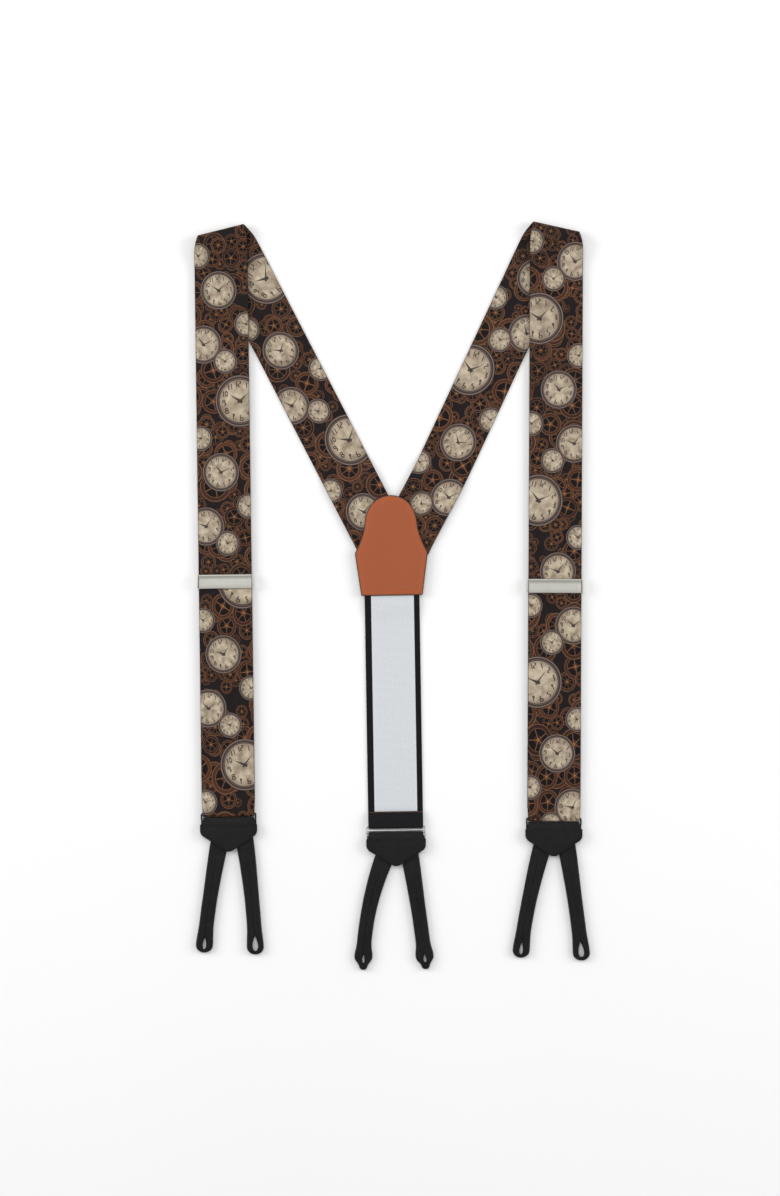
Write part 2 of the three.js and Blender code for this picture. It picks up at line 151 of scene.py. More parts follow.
class Graph:
    def __init__(self, tree):
        self.tree = tree

    def node(self, kind, inputs=(), **settings):
        made = self.tree.nodes.new("ShaderNode" + kind)
        for key, value in settings.items():
            setattr(made, key, value)
        for key, value in dict(inputs).items():
            self.feed(made.inputs[key], value)
        return made

    def feed(self, socket, value):
        if isinstance(value, Number):
            self.tree.links.new(value.socket, socket)
        elif isinstance(value, bpy.types.NodeSocket):
            self.tree.links.new(value, socket)
        else:
            socket.default_value = value

    def math(self, operation, *values, clamp=False):
        made = self.node("Math", enumerate(values), operation=operation, use_clamp=clamp)
        return Number(self, made.outputs[0])

    def below(self, value, limit, soft):
        """1 where value is under limit, 0 over it, with an edge that is soft wide."""
        if isinstance(limit, Number):
            return self.math("MULTIPLY", limit - value, 1 / soft, clamp=True)
        return self.math("MULTIPLY_ADD", value, -1 / soft, limit / soft, clamp=True)

    def band(self, value, centre, half, soft):
        """1 where value is within half of centre."""
        return self.below(self.math("ABSOLUTE", value - centre), half, soft)

    def length(self, x, y):
        return self.math("SQRT", x * x + y * y)

    def mix(self, factor, a, b):
        made = self.node("Mix", data_type="RGBA")
        for key, value in zip((0, 6, 7), (factor, a, b)):
            self.feed(made.inputs[key], (*value, 1) if isinstance(value, tuple) else value)
        return made.outputs[2]

    def attribute(self, name):
        made = self.node("Attribute", attribute_name=name)
        split = self.node("SeparateXYZ", [(0, made.outputs["Vector"])])
        return made.outputs["Vector"], *(Number(self, out) for out in split.outputs)

    def local(self):
        return self.node("TexCoord").outputs["Object"]

    def noise(self, vector, scale, detail=2.0, roughness=0.5):
        settings = {"Vector": vector, "Scale": scale, "Detail": detail, "Roughness": roughness}
        made = self.node("TexNoise", settings)
        return Number(self, made.outputs[0])

    def bump(self, height, distance, strength=1.0):
        made = self.node("Bump", {"Height": height, "Distance": distance, "Strength": strength})
        return made.outputs[0]


def material(name, finish):
    """A node material. finish(graph) returns the Principled shader's inputs."""
    made = bpy.data.materials.new(name)
    made.use_nodes = True
    graph = Graph(made.node_tree)
    shader = made.node_tree.nodes["Principled BSDF"]
    for key, value in finish(graph).items():
        graph.feed(shader.inputs[key], (*value, 1) if isinstance(value, tuple) else value)
    return made


def gear_layer(g, x, y, under, pitch, seed):
    """Toothed wheels, one to a Voronoi cell, over the colour under. x and y are in mm."""
    place = g.node("CombineXYZ", {0: x + seed, 1: y + seed * 0.37}).outputs[0]
    settings = {"Vector": place, "Scale": 1 / pitch, "Randomness": 0.82}
    cell = g.node("TexVoronoi", settings, voronoi_dimensions="2D", feature="F1")
    room = g.node("TexVoronoi", settings, voronoi_dimensions="2D", feature="N_SPHERE_RADIUS")
    split = g.node("SeparateXYZ", [(0, cell.outputs["Position"])])
    chance = g.node("SeparateColor", [(0, cell.outputs["Color"])])
    radius = Number(g, room.outputs["Radius"]) * (pitch * 1.12)
    dx = x + seed - Number(g, split.outputs[0])
    dy = y + seed * 0.37 - Number(g, split.outputs[1])
    r = g.length(dx, dy) / radius
    turn = g.math("ARCTAN2", dy, dx)
    luck = Number(g, chance.outputs[0])
    other = Number(g, chance.outputs[1])

    teeth = g.math("FLOOR", radius * 1.5 + 9)
    tooth = g.math("MULTIPLY_ADD", g.math("SINE", turn * teeth), 2.2, 0.5, clamp=True)
    outline = tooth * 0.05 + 0.93
    disc = g.below(r, outline, 0.03)
    arms = g.math("FLOOR", luck * 4.99 + 4) * 0.5
    arm = g.below(g.math("ABSOLUTE", g.math("SINE", turn * arms + other * 6)) * r, 0.085, 0.03)
    hub = g.below(r, 0.25, 0.03)
    rim = 1 - g.below(r, 0.64, 0.02)
    metal = g.math("MAXIMUM", g.math("MAXIMUM", arm, hub), rim)
    lines = g.math("MAXIMUM", g.band(r, 0.89, 0.022, 0.02), g.band(r, 0.665, 0.018, 0.02))
    lines = g.math("MAXIMUM", lines, g.band(r, 0.23, 0.015, 0.02))
    boss = g.below(r, 0.12, 0.04)
    bronze = g.mix(other, (0.026, 0.011, 0.008), (0.085, 0.033, 0.016))
    bronze = g.mix(lines * 0.85, bronze, g.mix(luck, (0.30, 0.135, 0.066), (0.36, 0.21, 0.12)))
    bronze = g.mix(arm * g.below(r, 0.64, 0.03) * 0.6, bronze, (0.27, 0.135, 0.065))
    bronze = g.mix(boss * 0.8, bronze, (0.34, 0.13, 0.035))
    wheel = g.mix(metal, (0.008, 0.005, 0.005), bronze)
    return g.mix(disc, under, wheel)


# Which strokes make the numeral of each hour, from 12 round to 11: the left and right halves of an upper
# and a lower loop, a stem, and a one before the digit
NUMERALS = [
    (0, 1, 1, 0, 0, 1), (0, 0, 0, 0, 1, 0), (0, 1, 1, 0, 0, 0), (0, 1, 0, 1, 0, 0), (1, 0, 0, 0, 1, 0),
    (1, 0, 0, 1, 0, 0), (1, 0, 1, 1, 0, 0), (0, 1, 0, 0, 1, 0), (1, 1, 1, 1, 0, 0), (1, 1, 0, 1, 0, 0),
    (0, 0, 0, 0, 0, 1), (0, 0, 0, 0, 1, 1),
]


def hour_flags(g, hour, first):
    """The three numeral strokes from first on, as numbers that are 0 or 1 at each hour."""
    ramp = g.node("ValToRGB", {0: (hour + 0.5) / 12})
    ramp.color_ramp.interpolation = "CONSTANT"
    stops = ramp.color_ramp.elements
    while len(stops) < 12:
        stops.new(1.0)
    for n in range(12):
        stops[n].position = n / 12
        stops[n].color = (*NUMERALS[n][first:first + 3], 1)
    split = g.node("SeparateColor", [(0, ramp.outputs[0])])
    return [Number(g, out) for out in split.outputs]


def numerals(g, x, y):
    """Upright numerals round the dial."""
    step = math.pi / 6
    hour = g.math("FLOORED_MODULO", g.math("ROUND", g.math("ARCTAN2", x, y) / step), 12)
    upper_left, upper_right, lower_left = hour_flags(g, hour, 0)
    lower_right, stem, one = hour_flags(g, hour, 3)
    gx = x - g.math("SINE", hour * step) * 0.645 - one * 0.05
    gy = y - g.math("COSINE", hour * step) * 0.645
    right = g.math("GREATER_THAN", gx, 0)
    left = 1 - right
    upper = g.band(g.length(gx * 0.85, gy - 0.052), 0.043, 0.026, 0.012)
    lower = g.band(g.length(gx * 0.85, gy + 0.052), 0.051, 0.026, 0.012)
    tall = g.below(g.math("ABSOLUTE", gy), 0.115, 0.01)
    ink = (upper * (upper_left * left + upper_right * right)
           + lower * (lower_left * left + lower_right * right))
    ink = ink + g.band(gx, 0.0, 0.026, 0.012) * stem * tall
    nought = g.band(g.length(gx * 1.5, gy * 0.85), 0.072, 0.03, 0.012)
    ink = ink + nought * g.band(hour, 10.0, 0.5, 0.01)
    return g.math("ADD", ink, g.band(gx, -0.12, 0.026, 0.012) * one * tall, clamp=True)


def hand(g, x, y, degrees, reach, thick):
    """A tapered hand from just behind the centre."""
    c, s = math.cos(math.radians(degrees)), math.sin(math.radians(degrees))
    along = x * s + y * c
    across = g.math("ABSOLUTE", x * c - y * s)
    width = (reach + 0.04 - along) * (thick / reach)
    return g.below(across, width, 0.012) * g.band(along, reach / 2 - 0.06, reach / 2 + 0.06, 0.02)


def dial_layer(g, name, under):
    """Pocket-watch dials over the colour under, where the mesh carries their local coordinates."""
    _, x, y, shade = g.attribute(name)
    r = g.length(x, y)
    turn = g.math("ARCTAN2", x, y)
    cloth = g.node("CombineXYZ", {0: x, 1: y, 2: shade}).outputs[0]
    stain = g.noise(cloth, 3.0, 4.0)
    face = g.mix(g.math("MULTIPLY_ADD", stain, 3.0, -1.0, clamp=True), (0.27, 0.21, 0.15), (0.56, 0.47, 0.35))
    face = g.mix(g.math("MULTIPLY_ADD", r, 2.6, -1.5, clamp=True), face, (0.22, 0.165, 0.12))
    tick = g.below(g.math("ABSOLUTE", g.math("SINE", turn * 30)), 0.32, 0.1) * g.band(r, 0.765, 0.018, 0.01)
    track = g.band(r, 0.735, 0.003, 0.006)
    small = g.length(x, y + 0.33)
    small_ring = g.band(small, 0.17, 0.012, 0.012) + g.band(small, 0.10, 0.008, 0.01)
    ink = g.math("MAXIMUM", numerals(g, x, y) * (1 - g.below(small, 0.16, 0.02)), tick)
    ink = g.math("MAXIMUM", ink, g.math("MAXIMUM", track * 0.6, small_ring * 0.6))
    hands = g.math("MAXIMUM", hand(g, x, y, 306, 0.50, 0.055), hand(g, x, y, 52, 0.62, 0.040))
    hands = g.math("MAXIMUM", hands, g.below(r, 0.075, 0.015))
    face = g.mix(ink * 0.9, face, (0.035, 0.025, 0.02))
    face = g.mix(hands * 0.92, face, (0.028, 0.022, 0.02))
    case = g.mix(g.band(r, 0.945, 0.018, 0.02), (0.06, 0.040, 0.035), (0.34, 0.27, 0.225))
    case = g.mix(g.band(r, 0.848, 0.012, 0.02), case, (0.30, 0.24, 0.20))
    case = g.mix(g.band(r, 0.88, 0.010, 0.012), case, (0.035, 0.024, 0.02))
    case = g.mix(g.below(0.975 - r, 0, 0.02), case, (0.022, 0.014, 0.012))
    dial = g.mix(g.below(r, 0.815, 0.015), case, face)
    return g.mix(g.below(r, 1.0, 0.015), under, dial)


def twill(g, along, across, pitch):
    """The height of a diagonal weave, in 0 to 1."""
    ridge = g.math("SINE", (along + across) * (2 * math.pi / pitch))
    thread = g.math("SINE", (along - across) * (2 * math.pi / (pitch * 0.61)))
    return ridge * 0.35 + thread * 0.15 + 0.5


def printed_cloth(g):
    place, along, across, _ = g.attribute("strap")
    ground = g.mix(g.noise(place, 0.25, 3.0), (0.006, 0.005, 0.006), (0.018, 0.011, 0.011))
    colour = gear_layer(g, along, across, ground, 11.0, 311.0)
    colour = gear_layer(g, along, across, colour, 15.0, 97.0)
    colour = gear_layer(g, along, across, colour, 20.0, 523.0)
    colour = g.mix(g.math("MULTIPLY_ADD", g.noise(place, 0.9, 5.0, 0.7), 4.0, -1.9, clamp=True) * 0.5, colour,
                   (0.018, 0.010, 0.009))
    for layer in ("dial_a", "dial_b", "dial_c"):
        colour = dial_layer(g, layer, colour)
    weave = twill(g, along, across, 0.55)
    edge = g.below(18.1 - g.math("ABSOLUTE", across), 0, 0.35)
    colour = g.mix(edge * 0.55, colour, (0.02, 0.013, 0.012))
    return {"Base Color": colour, "Roughness": 0.55, "Specular IOR Level": 0.10,
            "Normal": g.bump(weave, 0.00006, 0.6)}


def elastic_face(g):
    place, along, across, _ = g.attribute("strap")
    border = 1 - g.below(g.math("ABSOLUTE", across - 0.3), ELASTIC_WIDTH / 2 - ELASTIC_BORDER, 0.12)
    rib = g.math("SINE", along * (2 * math.pi / 0.8))
    cord = g.math("SINE", across * (2 * math.pi / 1.1))
    mottle = g.noise(place, 0.6, 3.0)
    white = g.mix(mottle, (0.60, 0.62, 0.65), (0.72, 0.74, 0.765))
    # Painted shade: the white goes grey in the grooves between the ribs, where the bump is lowest.
    white = g.mix(g.below(rib, -0.4, 0.5) * 0.22, white, (0.42, 0.43, 0.45))
    black = g.mix(mottle, (0.004, 0.004, 0.005), (0.012, 0.012, 0.014))
    return {"Base Color": g.mix(border, white, black), "Roughness": 0.8, "Specular IOR Level": 0.12,
            "Normal": g.bump(rib * 0.35 + cord * 0.2 + 0.5, 0.00014, 0.8)}


def elastic_reverse(g):
    place, along, across, _ = g.attribute("strap")
    rib = g.math("SINE", along * (2 * math.pi / 0.9))
    cord = g.math("SINE", across * (2 * math.pi / 1.3))
    colour = g.mix(g.noise(place, 0.8, 3.0), (0.005, 0.005, 0.006), (0.013, 0.013, 0.015))
    # Painted shade: the black goes darker still in the grooves between the ribs, where the bump is lowest.
    colour = g.mix(g.below(rib, -0.3, 0.5) * 0.5, colour, (0.004, 0.004, 0.005))
    return {"Base Color": colour, "Roughness": 0.75, "Specular IOR Level": 0.15,
            "Normal": g.bump(rib * 0.4 + cord * 0.2 + 0.5, 0.0002, 0.9)}


def grain(g, scale):
    """The height of a leather's grain: pebbles with soft creases between them."""
    place = g.local()
    settings = {"Vector": place, "Scale": scale, "Randomness": 1.0}
    cells = g.node("TexVoronoi", settings, feature="DISTANCE_TO_EDGE")
    pebble = g.math("MULTIPLY", Number(g, cells.outputs["Distance"]), 5.0, clamp=True)
    return pebble * 0.6 + g.noise(place, scale * 0.5, 4.0) * 0.4, place


def black_leather(g):
    height, place = grain(g, 1500.0)
    tone = g.noise(place, 90.0, 3.0)
    colour = g.mix(tone, (0.0030, 0.0030, 0.0034), (0.0085, 0.0080, 0.0090))
    worn = g.math("MULTIPLY_ADD", g.noise(place, 260.0, 4.0, 0.6), 3.2, -1.6, clamp=True)
    _, rim, _, _ = g.attribute("rim")
    colour = g.mix(g.below(rim, 0.35, 0.3) * 0.35, colour, (0.026, 0.025, 0.026))
    return {"Base Color": colour, "Roughness": 0.30 + worn * 0.16, "Specular IOR Level": 0.16,
            "Normal": g.bump(height + worn * 0.8, 0.00022, 0.8)}


def tan_leather(g):
    height, place = grain(g, 1300.0)
    tone = g.noise(place, 28.0, 4.0)
    fine = g.noise(place, 400.0, 3.0)
    colour = g.mix(tone, (0.318, 0.078, 0.027), (0.362, 0.094, 0.034))
    colour = g.mix(fine * 0.3, colour, (0.40, 0.115, 0.048))
    _, rim, _, _ = g.attribute("rim")
    # Painted highlight: a lighter, redder band about 1.4 to 3.8 mm in from the edge, along the patch's raised
    # border.
    colour = g.mix(g.band(rim, 2.6, 1.2, 1.4) * 0.6, colour, (0.43, 0.092, 0.024))
    colour = g.mix(g.below(rim, 0.95, 0.5), colour, (0.10, 0.045, 0.028))
    colour = g.mix(g.below(rim, 0.5, 0.3), colour, (0.035, 0.022, 0.018))
    return {"Base Color": colour, "Roughness": 0.55, "Specular IOR Level": 0.22,
            "Normal": g.bump(height, 0.00008, 0.45)}


def lining_leather(g):
    height, place = grain(g, 900.0)
    colour = g.mix(g.noise(place, 60.0, 4.0), (0.016, 0.011, 0.009), (0.040, 0.028, 0.022))
    return {"Base Color": colour, "Roughness": 0.75, "Normal": g.bump(height, 0.00012, 0.5)}


def satin_metal(g):
    place = g.local()
    stretched = g.node("Mapping", {"Vector": place, "Scale": (60.0, 2600.0, 2600.0)}).outputs[0]
    brushed = g.noise(stretched, 1.0, 3.0)
    wear = g.noise(place, 180.0, 3.0)
    colour = g.mix(wear, (0.53, 0.525, 0.47), (0.61, 0.60, 0.55))
    return {"Base Color": colour, "Metallic": 1.0, "Roughness": brushed * 0.12 + 0.40,
            "Normal": g.bump(brushed, 0.00003, 0.35)}


def bright_wire(g):
    place = g.local()
    wear = g.noise(place, 700.0, 3.0)
    return {"Base Color": g.mix(wear, (0.66, 0.66, 0.66), (0.80, 0.80, 0.80)), "Metallic": 1.0,
            "Roughness": wear * 0.12 + 0.16}


def dark_wire(g):
    place = g.local()
    wear = g.noise(place, 600.0, 3.0)
    return {"Base Color": g.mix(wear, (0.018, 0.018, 0.020), (0.05, 0.05, 0.055)), "Metallic": 1.0,
            "Roughness": wear * 0.2 + 0.35}


def thread(colour):
    def finish(g):
        place = g.local()
        twist = g.node("TexWave", {"Vector": place, "Scale": 1500.0, "Distortion": 2.0}).outputs[1]
        # Painted highlight: the thread is lighter along the ridges of its twist, where the bump is highest.
        light = tuple(min(c * 1.5 + 0.004, 1) for c in colour)
        return {"Base Color": g.mix(Number(g, twist), colour, light), "Roughness": 0.7,
                "Normal": g.bump(Number(g, twist), 0.00005, 0.6)}
    return finish


MATERIALS = {
    "printed_strap": material("printed_cloth", printed_cloth),
    "elastic_face": material("elastic_face", elastic_face),
    "elastic_reverse": material("elastic_reverse", elastic_reverse),
    "black_leather": material("black_leather", black_leather),
    "patch_leather": material("tan_leather", tan_leather),
    "patch_lining": material("lining_leather", lining_leather),
    "satin_steel": material("satin_metal", satin_metal),
}
BRIGHT_WIRE = material("bright_wire", bright_wire)
DARK_WIRE = material("dark_wire_metal", dark_wire)
BLACK_THREAD = material("black_thread", thread((0.010, 0.010, 0.012)))
TAN_THREAD = material("tan_thread", thread((0.12, 0.045, 0.025)))


# ---------------------------------------------------------------- places from the frame
def plan(vector):
    return Vector((vector[0], vector[1]))


class Leg:
    """A straight run of the suspenders: an origin, the way down it, and the way across, in mm."""

    def __init__(self, origin, up):
        self.origin = origin
        self.up = up.normalized()
        self.across = Vector((self.up.y, -self.up.x))

    def at(self, x, y, z):
        """The place, in metres, that is x across, y up the leg and z above the table."""
        flat = self.origin + self.across * x + self.up * y
        return Vector((flat.x, flat.y, z)) * MM

    def height_of(self, point):
        return (plan(point) / MM - self.origin).dot(self.up)


SWAY = {"left": 0.0, "right": -2.6}       # how far the back leg bends sideways as it nears the patch, in mm


class Shoulder:
    """One side's strap. s runs along it: 0 at the shoulder fold, less down the back leg, more down the
    front."""

    def __init__(self, side):
        self.side = side
        fold = JOINTS[side + "_shoulder_fold_hinge"]
        up = plan(JOINTS[side + "_loop_slide"]["axis"])
        self.axis = -plan(fold["axis"]).normalized()
        self.down = Vector((self.axis.y, -self.axis.x))
        self.tangent = plan(fold["pos_m"]) / MM
        self.radius = fold["pos_m"][2] / MM - BOTTOM_PLY
        self.quarter = math.pi / 2 * self.radius
        self.lean = math.atan2(-up.dot(self.axis), -up.dot(self.down))
        corner = self.tangent - self.down * self.quarter
        self.front = Leg(corner, up)
        back_way = self.down * math.cos(self.lean) - self.axis * math.sin(self.lean)
        self.back = Leg(corner, -back_way)
        self.ring = self.front.height_of(JOINTS[side + "_ring_hinge"]["pos_m"])
        self.bar = self.ring - RING_PITCH
        self.pin = self.front.height_of(JOINTS[side + "_plate_hinge"]["pos_m"])

    def soften(self, s, t):
        """Where the cloth at t across really lies: its edges draw in as they go over the fold."""
        c = s * math.cos(self.lean) - t * math.sin(self.lean)
        return t * (1 - 0.14 * bell(c, 0, 7) * abs(t / 18.7) ** 4) * self.drawn_in(-s)

    def drawn_in(self, y):
        """How much narrower the strap is at y up the front leg, where it goes through its ring."""
        return 1 - 0.03 * bell(y, self.ring, 6)

    def at(self, s, t, lift):
        """The place of the cloth at s along, t across, lift out from its middle, wrapped over the fold."""
        t_now = self.soften(s, t)
        c = s * math.cos(self.lean) - t * math.sin(self.lean)
        a = ((c + t_now * math.sin(self.lean)) / math.cos(self.lean) * math.sin(self.lean)
             + t_now * math.cos(self.lean))
        top = BOTTOM_PLY + 2 * self.radius
        if abs(c) < self.quarter:
            angle = c / self.radius
            down, z = -self.radius * math.cos(angle), BOTTOM_PLY + self.radius * (1 + math.sin(angle))
        elif c < 0:
            angle, down, z = -math.pi / 2, -c - self.quarter, BOTTOM_PLY
        else:
            share = min((c - self.quarter) / FOLD_DROP, 1)
            slope = (top - TOP_PLY) * 6 * share * (1 - share) / FOLD_DROP
            angle, down = math.pi / 2 - math.atan(slope), c - self.quarter
            z = top - (top - TOP_PLY) * smooth(share)
        down -= math.cos(angle) * lift
        flat = self.tangent + self.axis * a + self.down * down
        return Vector((flat.x, flat.y, z + math.sin(angle) * lift)) * MM

    def s_at(self, c, t):
        """How far along the strap the line across the fold at arc length c meets t."""
        return (c + t * math.sin(self.lean)) / math.cos(self.lean)


# ---------------------------------------------------------------- mesh helpers
def run_along(line):
    """How far along a side line each of its points is."""
    return np.concatenate([[0], np.cumsum(np.hypot(*np.diff(line, axis=0).T))])


def finish_piece(piece, slot, body, replaces=(), sharp=40):
    for face in piece.data.polygons:
        face.use_smooth = True
    piece.data.set_sharp_from_angle(angle=math.radians(sharp))
    if not piece.data.materials:
        piece.data.materials.append(MATERIALS[slot])
    if body:
        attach(piece, body)
    if replaces:
        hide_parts(*replaces)
    return piece


def linked(name, data):
    made = bpy.data.objects.new(name, data)
    bpy.context.scene.collection.objects.link(made)
    return made


def object_from(name, vertices, faces):
    mesh = bpy.data.meshes.new(name)
    mesh.from_pydata([tuple(v) for v in vertices], [], faces)
    mesh.validate()
    mesh.update()
    return linked(name, mesh)


EDGE_STEPS = (0.0, 0.06, 0.18, 0.36, 0.62, 1.1)      # mm from a ply's edge, where its rounding is cut


def columns_of(half, inner):
    """Places across a ply from -half to half, close together at the edges."""
    scale = min(1.0, half / 2.4)
    edge = [half - e * scale for e in EDGE_STEPS]
    middle = [edge[-1] * (2 * k / inner - 1) for k in range(1, inner)]
    return [-x for x in edge] + middle + edge[::-1]


def ribbon(name, halves, place, thick, inner=14, rounding=0.62, ends=(1.0, 1.0)):
    """A closed ply: a row for each half width in halves. place(row, x, lift) gives a point, x and lift in mm.
    The long edges are rounded; ends give the share of the thickness that the first and last row keep."""
    rows = [columns_of(half, inner) for half in halves]
    vertices, over, under = [], [], []
    for i, columns in enumerate(rows):
        share = ends[0] if i == 0 else ends[1] if i == len(rows) - 1 else 1.0
        top, bottom = [], []
        for x in columns:
            inset = min((halves[i] - abs(x)) / (rounding * min(1.0, halves[i] / 2.4)), 1)
            lift = thick / 2 * share * math.sqrt(max(1 - (1 - inset) ** 2, 0))
            top.append(len(vertices))
            vertices.append(place(i, x, lift))
            if lift < 1e-6:
                bottom.append(top[-1])
            else:
                bottom.append(len(vertices))
                vertices.append(place(i, x, -lift))
        over.append(top)
        under.append(bottom)
    faces = []

    def face(*corners):
        unique = [c for n, c in enumerate(corners) if c not in corners[:n]]
        if len(unique) > 2:
            faces.append(unique)

    last = len(rows[0]) - 1
    for i in range(len(rows) - 1):
        for j in range(last):
            face(over[i][j], over[i + 1][j], over[i + 1][j + 1], over[i][j + 1])
            face(under[i][j], under[i][j + 1], under[i + 1][j + 1], under[i + 1][j])
    for j in range(last):
        face(under[0][j], over[0][j], over[0][j + 1], under[0][j + 1])
        face(over[-1][j], under[-1][j], under[-1][j + 1], over[-1][j + 1])
    made = object_from(name, vertices, faces)
    layout = {}
    for i, (top, bottom) in enumerate(zip(over, under)):
        for j, (a, b) in enumerate(zip(top, bottom)):
            layout[a] = (i, rows[i][j])
            layout[b] = (i, rows[i][j])
    return made, layout, {v for row in over for v in row}


def attribute(piece, name, values, domain="POINT"):
    made = piece.data.attributes.new(name, "FLOAT_VECTOR", domain)
    made.data.foreach_set("vector", np.array(values, np.float32).ravel())


# ---------------------------------------------------------------- the print's coordinates on a strap's mesh
def printed_dials(side, leg):
    """The dials down a leg of a strap. The straps are cut from one cloth, the right one turned over.
    None crosses the fold, where the legs part."""
    turned = 1 if side == "left" else -1
    start = leg * LEG_START - CLOTH_START[side]
    dials = []
    for copy in range(math.ceil(PRINT_LENGTH / PRINT_REPEAT) + 1):
        for number, (along, across, size) in enumerate(MOTIF):
            place = start + copy * PRINT_REPEAT + along
            if size * DIAL_STRETCH < place < PRINT_LENGTH:
                turn = (copy * 20 + number * 35) % 50 - 25
                dials.append((place, turned * across, size, turn, DIAL_STRETCH))
    return dials


def dial_layers(dials):
    """The dials in three lists, so that no two in a list overlap."""
    layers = ([], [], [])
    for dial in sorted(dials, key=lambda d: -d[2]):
        for layer in layers:
            if all(math.hypot(dial[0] - o[0], dial[1] - o[1]) > (dial[2] + o[2]) * 1.12 + 3 for o in layer):
                layer.append(dial)
                break
    return layers


def print_on(piece, side, s_of, over):
    """Gives each face corner its place on the strap and its place on the nearest dial of each layer.
    s_of(vertex) is the place along and across. A face is printed on both sides, and reads right on each."""
    shift = RIGHT_START if side == "right" else 0.0
    layers = {leg: dial_layers(printed_dials(side, leg)) for leg in (0, 1)}
    strap, dials = [], ([], [], [])
    for face in piece.data.polygons:
        places = [s_of(v) for v in face.vertices]
        along = sum(p[0] for p in places) / len(places)
        across = sum(p[1] for p in places) / len(places)
        outer = sum(v in over for v in face.vertices) > len(places) / 2
        leg = 0 if along > 0 else 1
        lower = along > PRINT_BREAKS[side]
        mirror = 1 if outer == (leg == 0) else -1
        up = -1 if leg == 0 else 1
        for s, t in places:
            place = BELOW_START + s * BELOW_SPREAD if lower else s
            strap.append((place + shift + (0 if outer else REVERSE_START), t * mirror, 0.0))
        for chosen, layer in zip(dials, layers[leg]):
            near = [d for d in layer if leg or (d[0] > PRINT_BREAKS[side]) == lower]
            best = min(near, default=None, key=lambda d: math.hypot(
                (abs(along) - d[0]) / d[4], across * mirror - d[1]) / d[2])
            for s, t in places:
                if best is None:
                    chosen.append(NO_DIAL)
                    continue
                x = (t * mirror - best[1]) / best[2]
                y = up * (s - best[0] * (1 if leg == 0 else -1)) / (best[2] * best[4])
                c, q = math.cos(math.radians(best[3])), math.sin(math.radians(best[3]))
                chosen.append((x * c - y * q, x * q + y * c, best[0] * SHADE_STEP))
    attribute(piece, "strap", strap, "CORNER")
    for name, chosen in zip(("dial_a", "dial_b", "dial_c"), dials):
        attribute(piece, name, chosen, "CORNER")


def steps(a, b, size):
    count = max(2, round(abs(b - a) / size) + 1)
    return list(np.linspace(a, b, count))


def printed_ply(name, side, s_rows, place, cloth=CLOTH_THICK):
    """A stretch of printed strap. s_rows(x) lists the places along it at x across."""
    rows = len(s_rows(0.0))
    made, layout, over = ribbon(name, [STRAP_WIDTH / 2] * rows,
                                lambda i, x, lift: place(s_rows(x)[i], x, lift), cloth)
    where = {v: (s_rows(x)[i], x) for v, (i, x) in layout.items()}
    print_on(made, side, where.__getitem__, over)
    return made


FOLD_PAST = 1.2                     # how far the fold piece goes past the lines where the fold starts
BACK_ROWS = 100                     # rows of the strap's mesh down the back leg
SWAY_START = 73                     # how far above the patch's end of the leg it starts to bend in


def shoulder_strap(side):
    shoulder = Shoulder(side)
    quarter, width = shoulder.quarter + FOLD_PAST, STRAP_WIDTH * MM

    # over the fold, from tangent line to tangent line
    def fold_rows(x):
        return [shoulder.s_at(c, x) for c in np.linspace(-quarter, quarter, 19)]
    fold = printed_ply(side + "_fold_cloth", side, fold_rows, shoulder.at)
    finish_piece(fold, "printed_strap", None, [side + "_shoulder_fold"])
    low, high = BOTTOM_PLY * MM, (BOTTOM_PLY + 2 * shoulder.radius) * MM
    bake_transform(fold)
    width * 2 * quarter * MM / math.cos(shoulder.lean)

    # down the back leg and in between the patch's leaves
    patch_end = back_strap_end(shoulder)
    leg_end = (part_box(side + "_back_strap")[0].y / MM - shoulder.back.origin.y) / shoulder.back.up.y
    rise_from = leg_end + SWAY_START

    def back_at(s, x, lift):
        height = BOTTOM_PLY + (SEWN_PLY - BOTTOM_PLY) * smooth((rise_from - s) / 15)
        sway = SWAY[side] * smooth((rise_from - s) / 70)
        return shoulder.back.at(shoulder.soften(s, x) + sway, s, height - lift)

    def even_rows(x):
        return list(np.linspace(patch_end(x), shoulder.s_at(-quarter, x), BACK_ROWS))
    back = printed_ply(side + "_back_cloth", side, even_rows, back_at)
    finish_piece(back, "printed_strap", "back", [side + "_back_strap"])
    abs(patch_end(0.0)) * MM

    # down from the fold and along the front leg
    bend_top = shoulder.ring + BEND_LENGTH

    def front_rows(x):
        first = shoulder.s_at(quarter, x)
        return list(np.linspace(first, FOLD_FRONT_END, 14)) + steps(FOLD_FRONT_END, -bend_top, 2.4)[1:]
    front = printed_ply(side + "_front_cloth", side, front_rows, shoulder.at)
    finish_piece(front, "printed_strap", None, [side + "_front_strap"])
    shoulder.front.at(0, -70, TOP_PLY)
    shoulder.front.at(0, bend_top + 1, TOP_PLY)
    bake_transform(front)
    -bend_top * MM

    # round the ring, and back up to the adjuster
    line = bend_line(bend_top, shoulder.ring)
    lengths = run_along(line)

    def bend_at(s, x, lift):
        y = np.interp(s + bend_top, lengths, line[:, 0])
        return ply_point(shoulder.front, line, s + bend_top, x * shoulder.drawn_in(y), lift, lengths)
    bend = printed_ply(side + "_bend_cloth", side, lambda x: list(lengths - bend_top), bend_at)
    finish_piece(bend, "printed_strap", side + "_strap_end", [side + "_strap_bend"])

    first = lengths[-1] - bend_top
    return_end = shoulder.pin - PLATE_BELOW_PIN + 3

    def return_at(s, x, lift):
        y = bend_top + s - first
        return shoulder.front.at(x * shoulder.drawn_in(y), y, BOTTOM_PLY - lift)
    back_ply = printed_ply(side + "_return_cloth", side,
                           lambda x: steps(first, first + return_end - bend_top, 2.4), return_at)
    finish_piece(back_ply, "printed_strap", None, [side + "_return_strap"])
    shoulder.front.at(0, bend_top, BOTTOM_PLY)
    shoulder.front.at(0, return_end - 14, BOTTOM_PLY)
    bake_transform(back_ply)
    (return_end - bend_top) * MM
    return shoulder


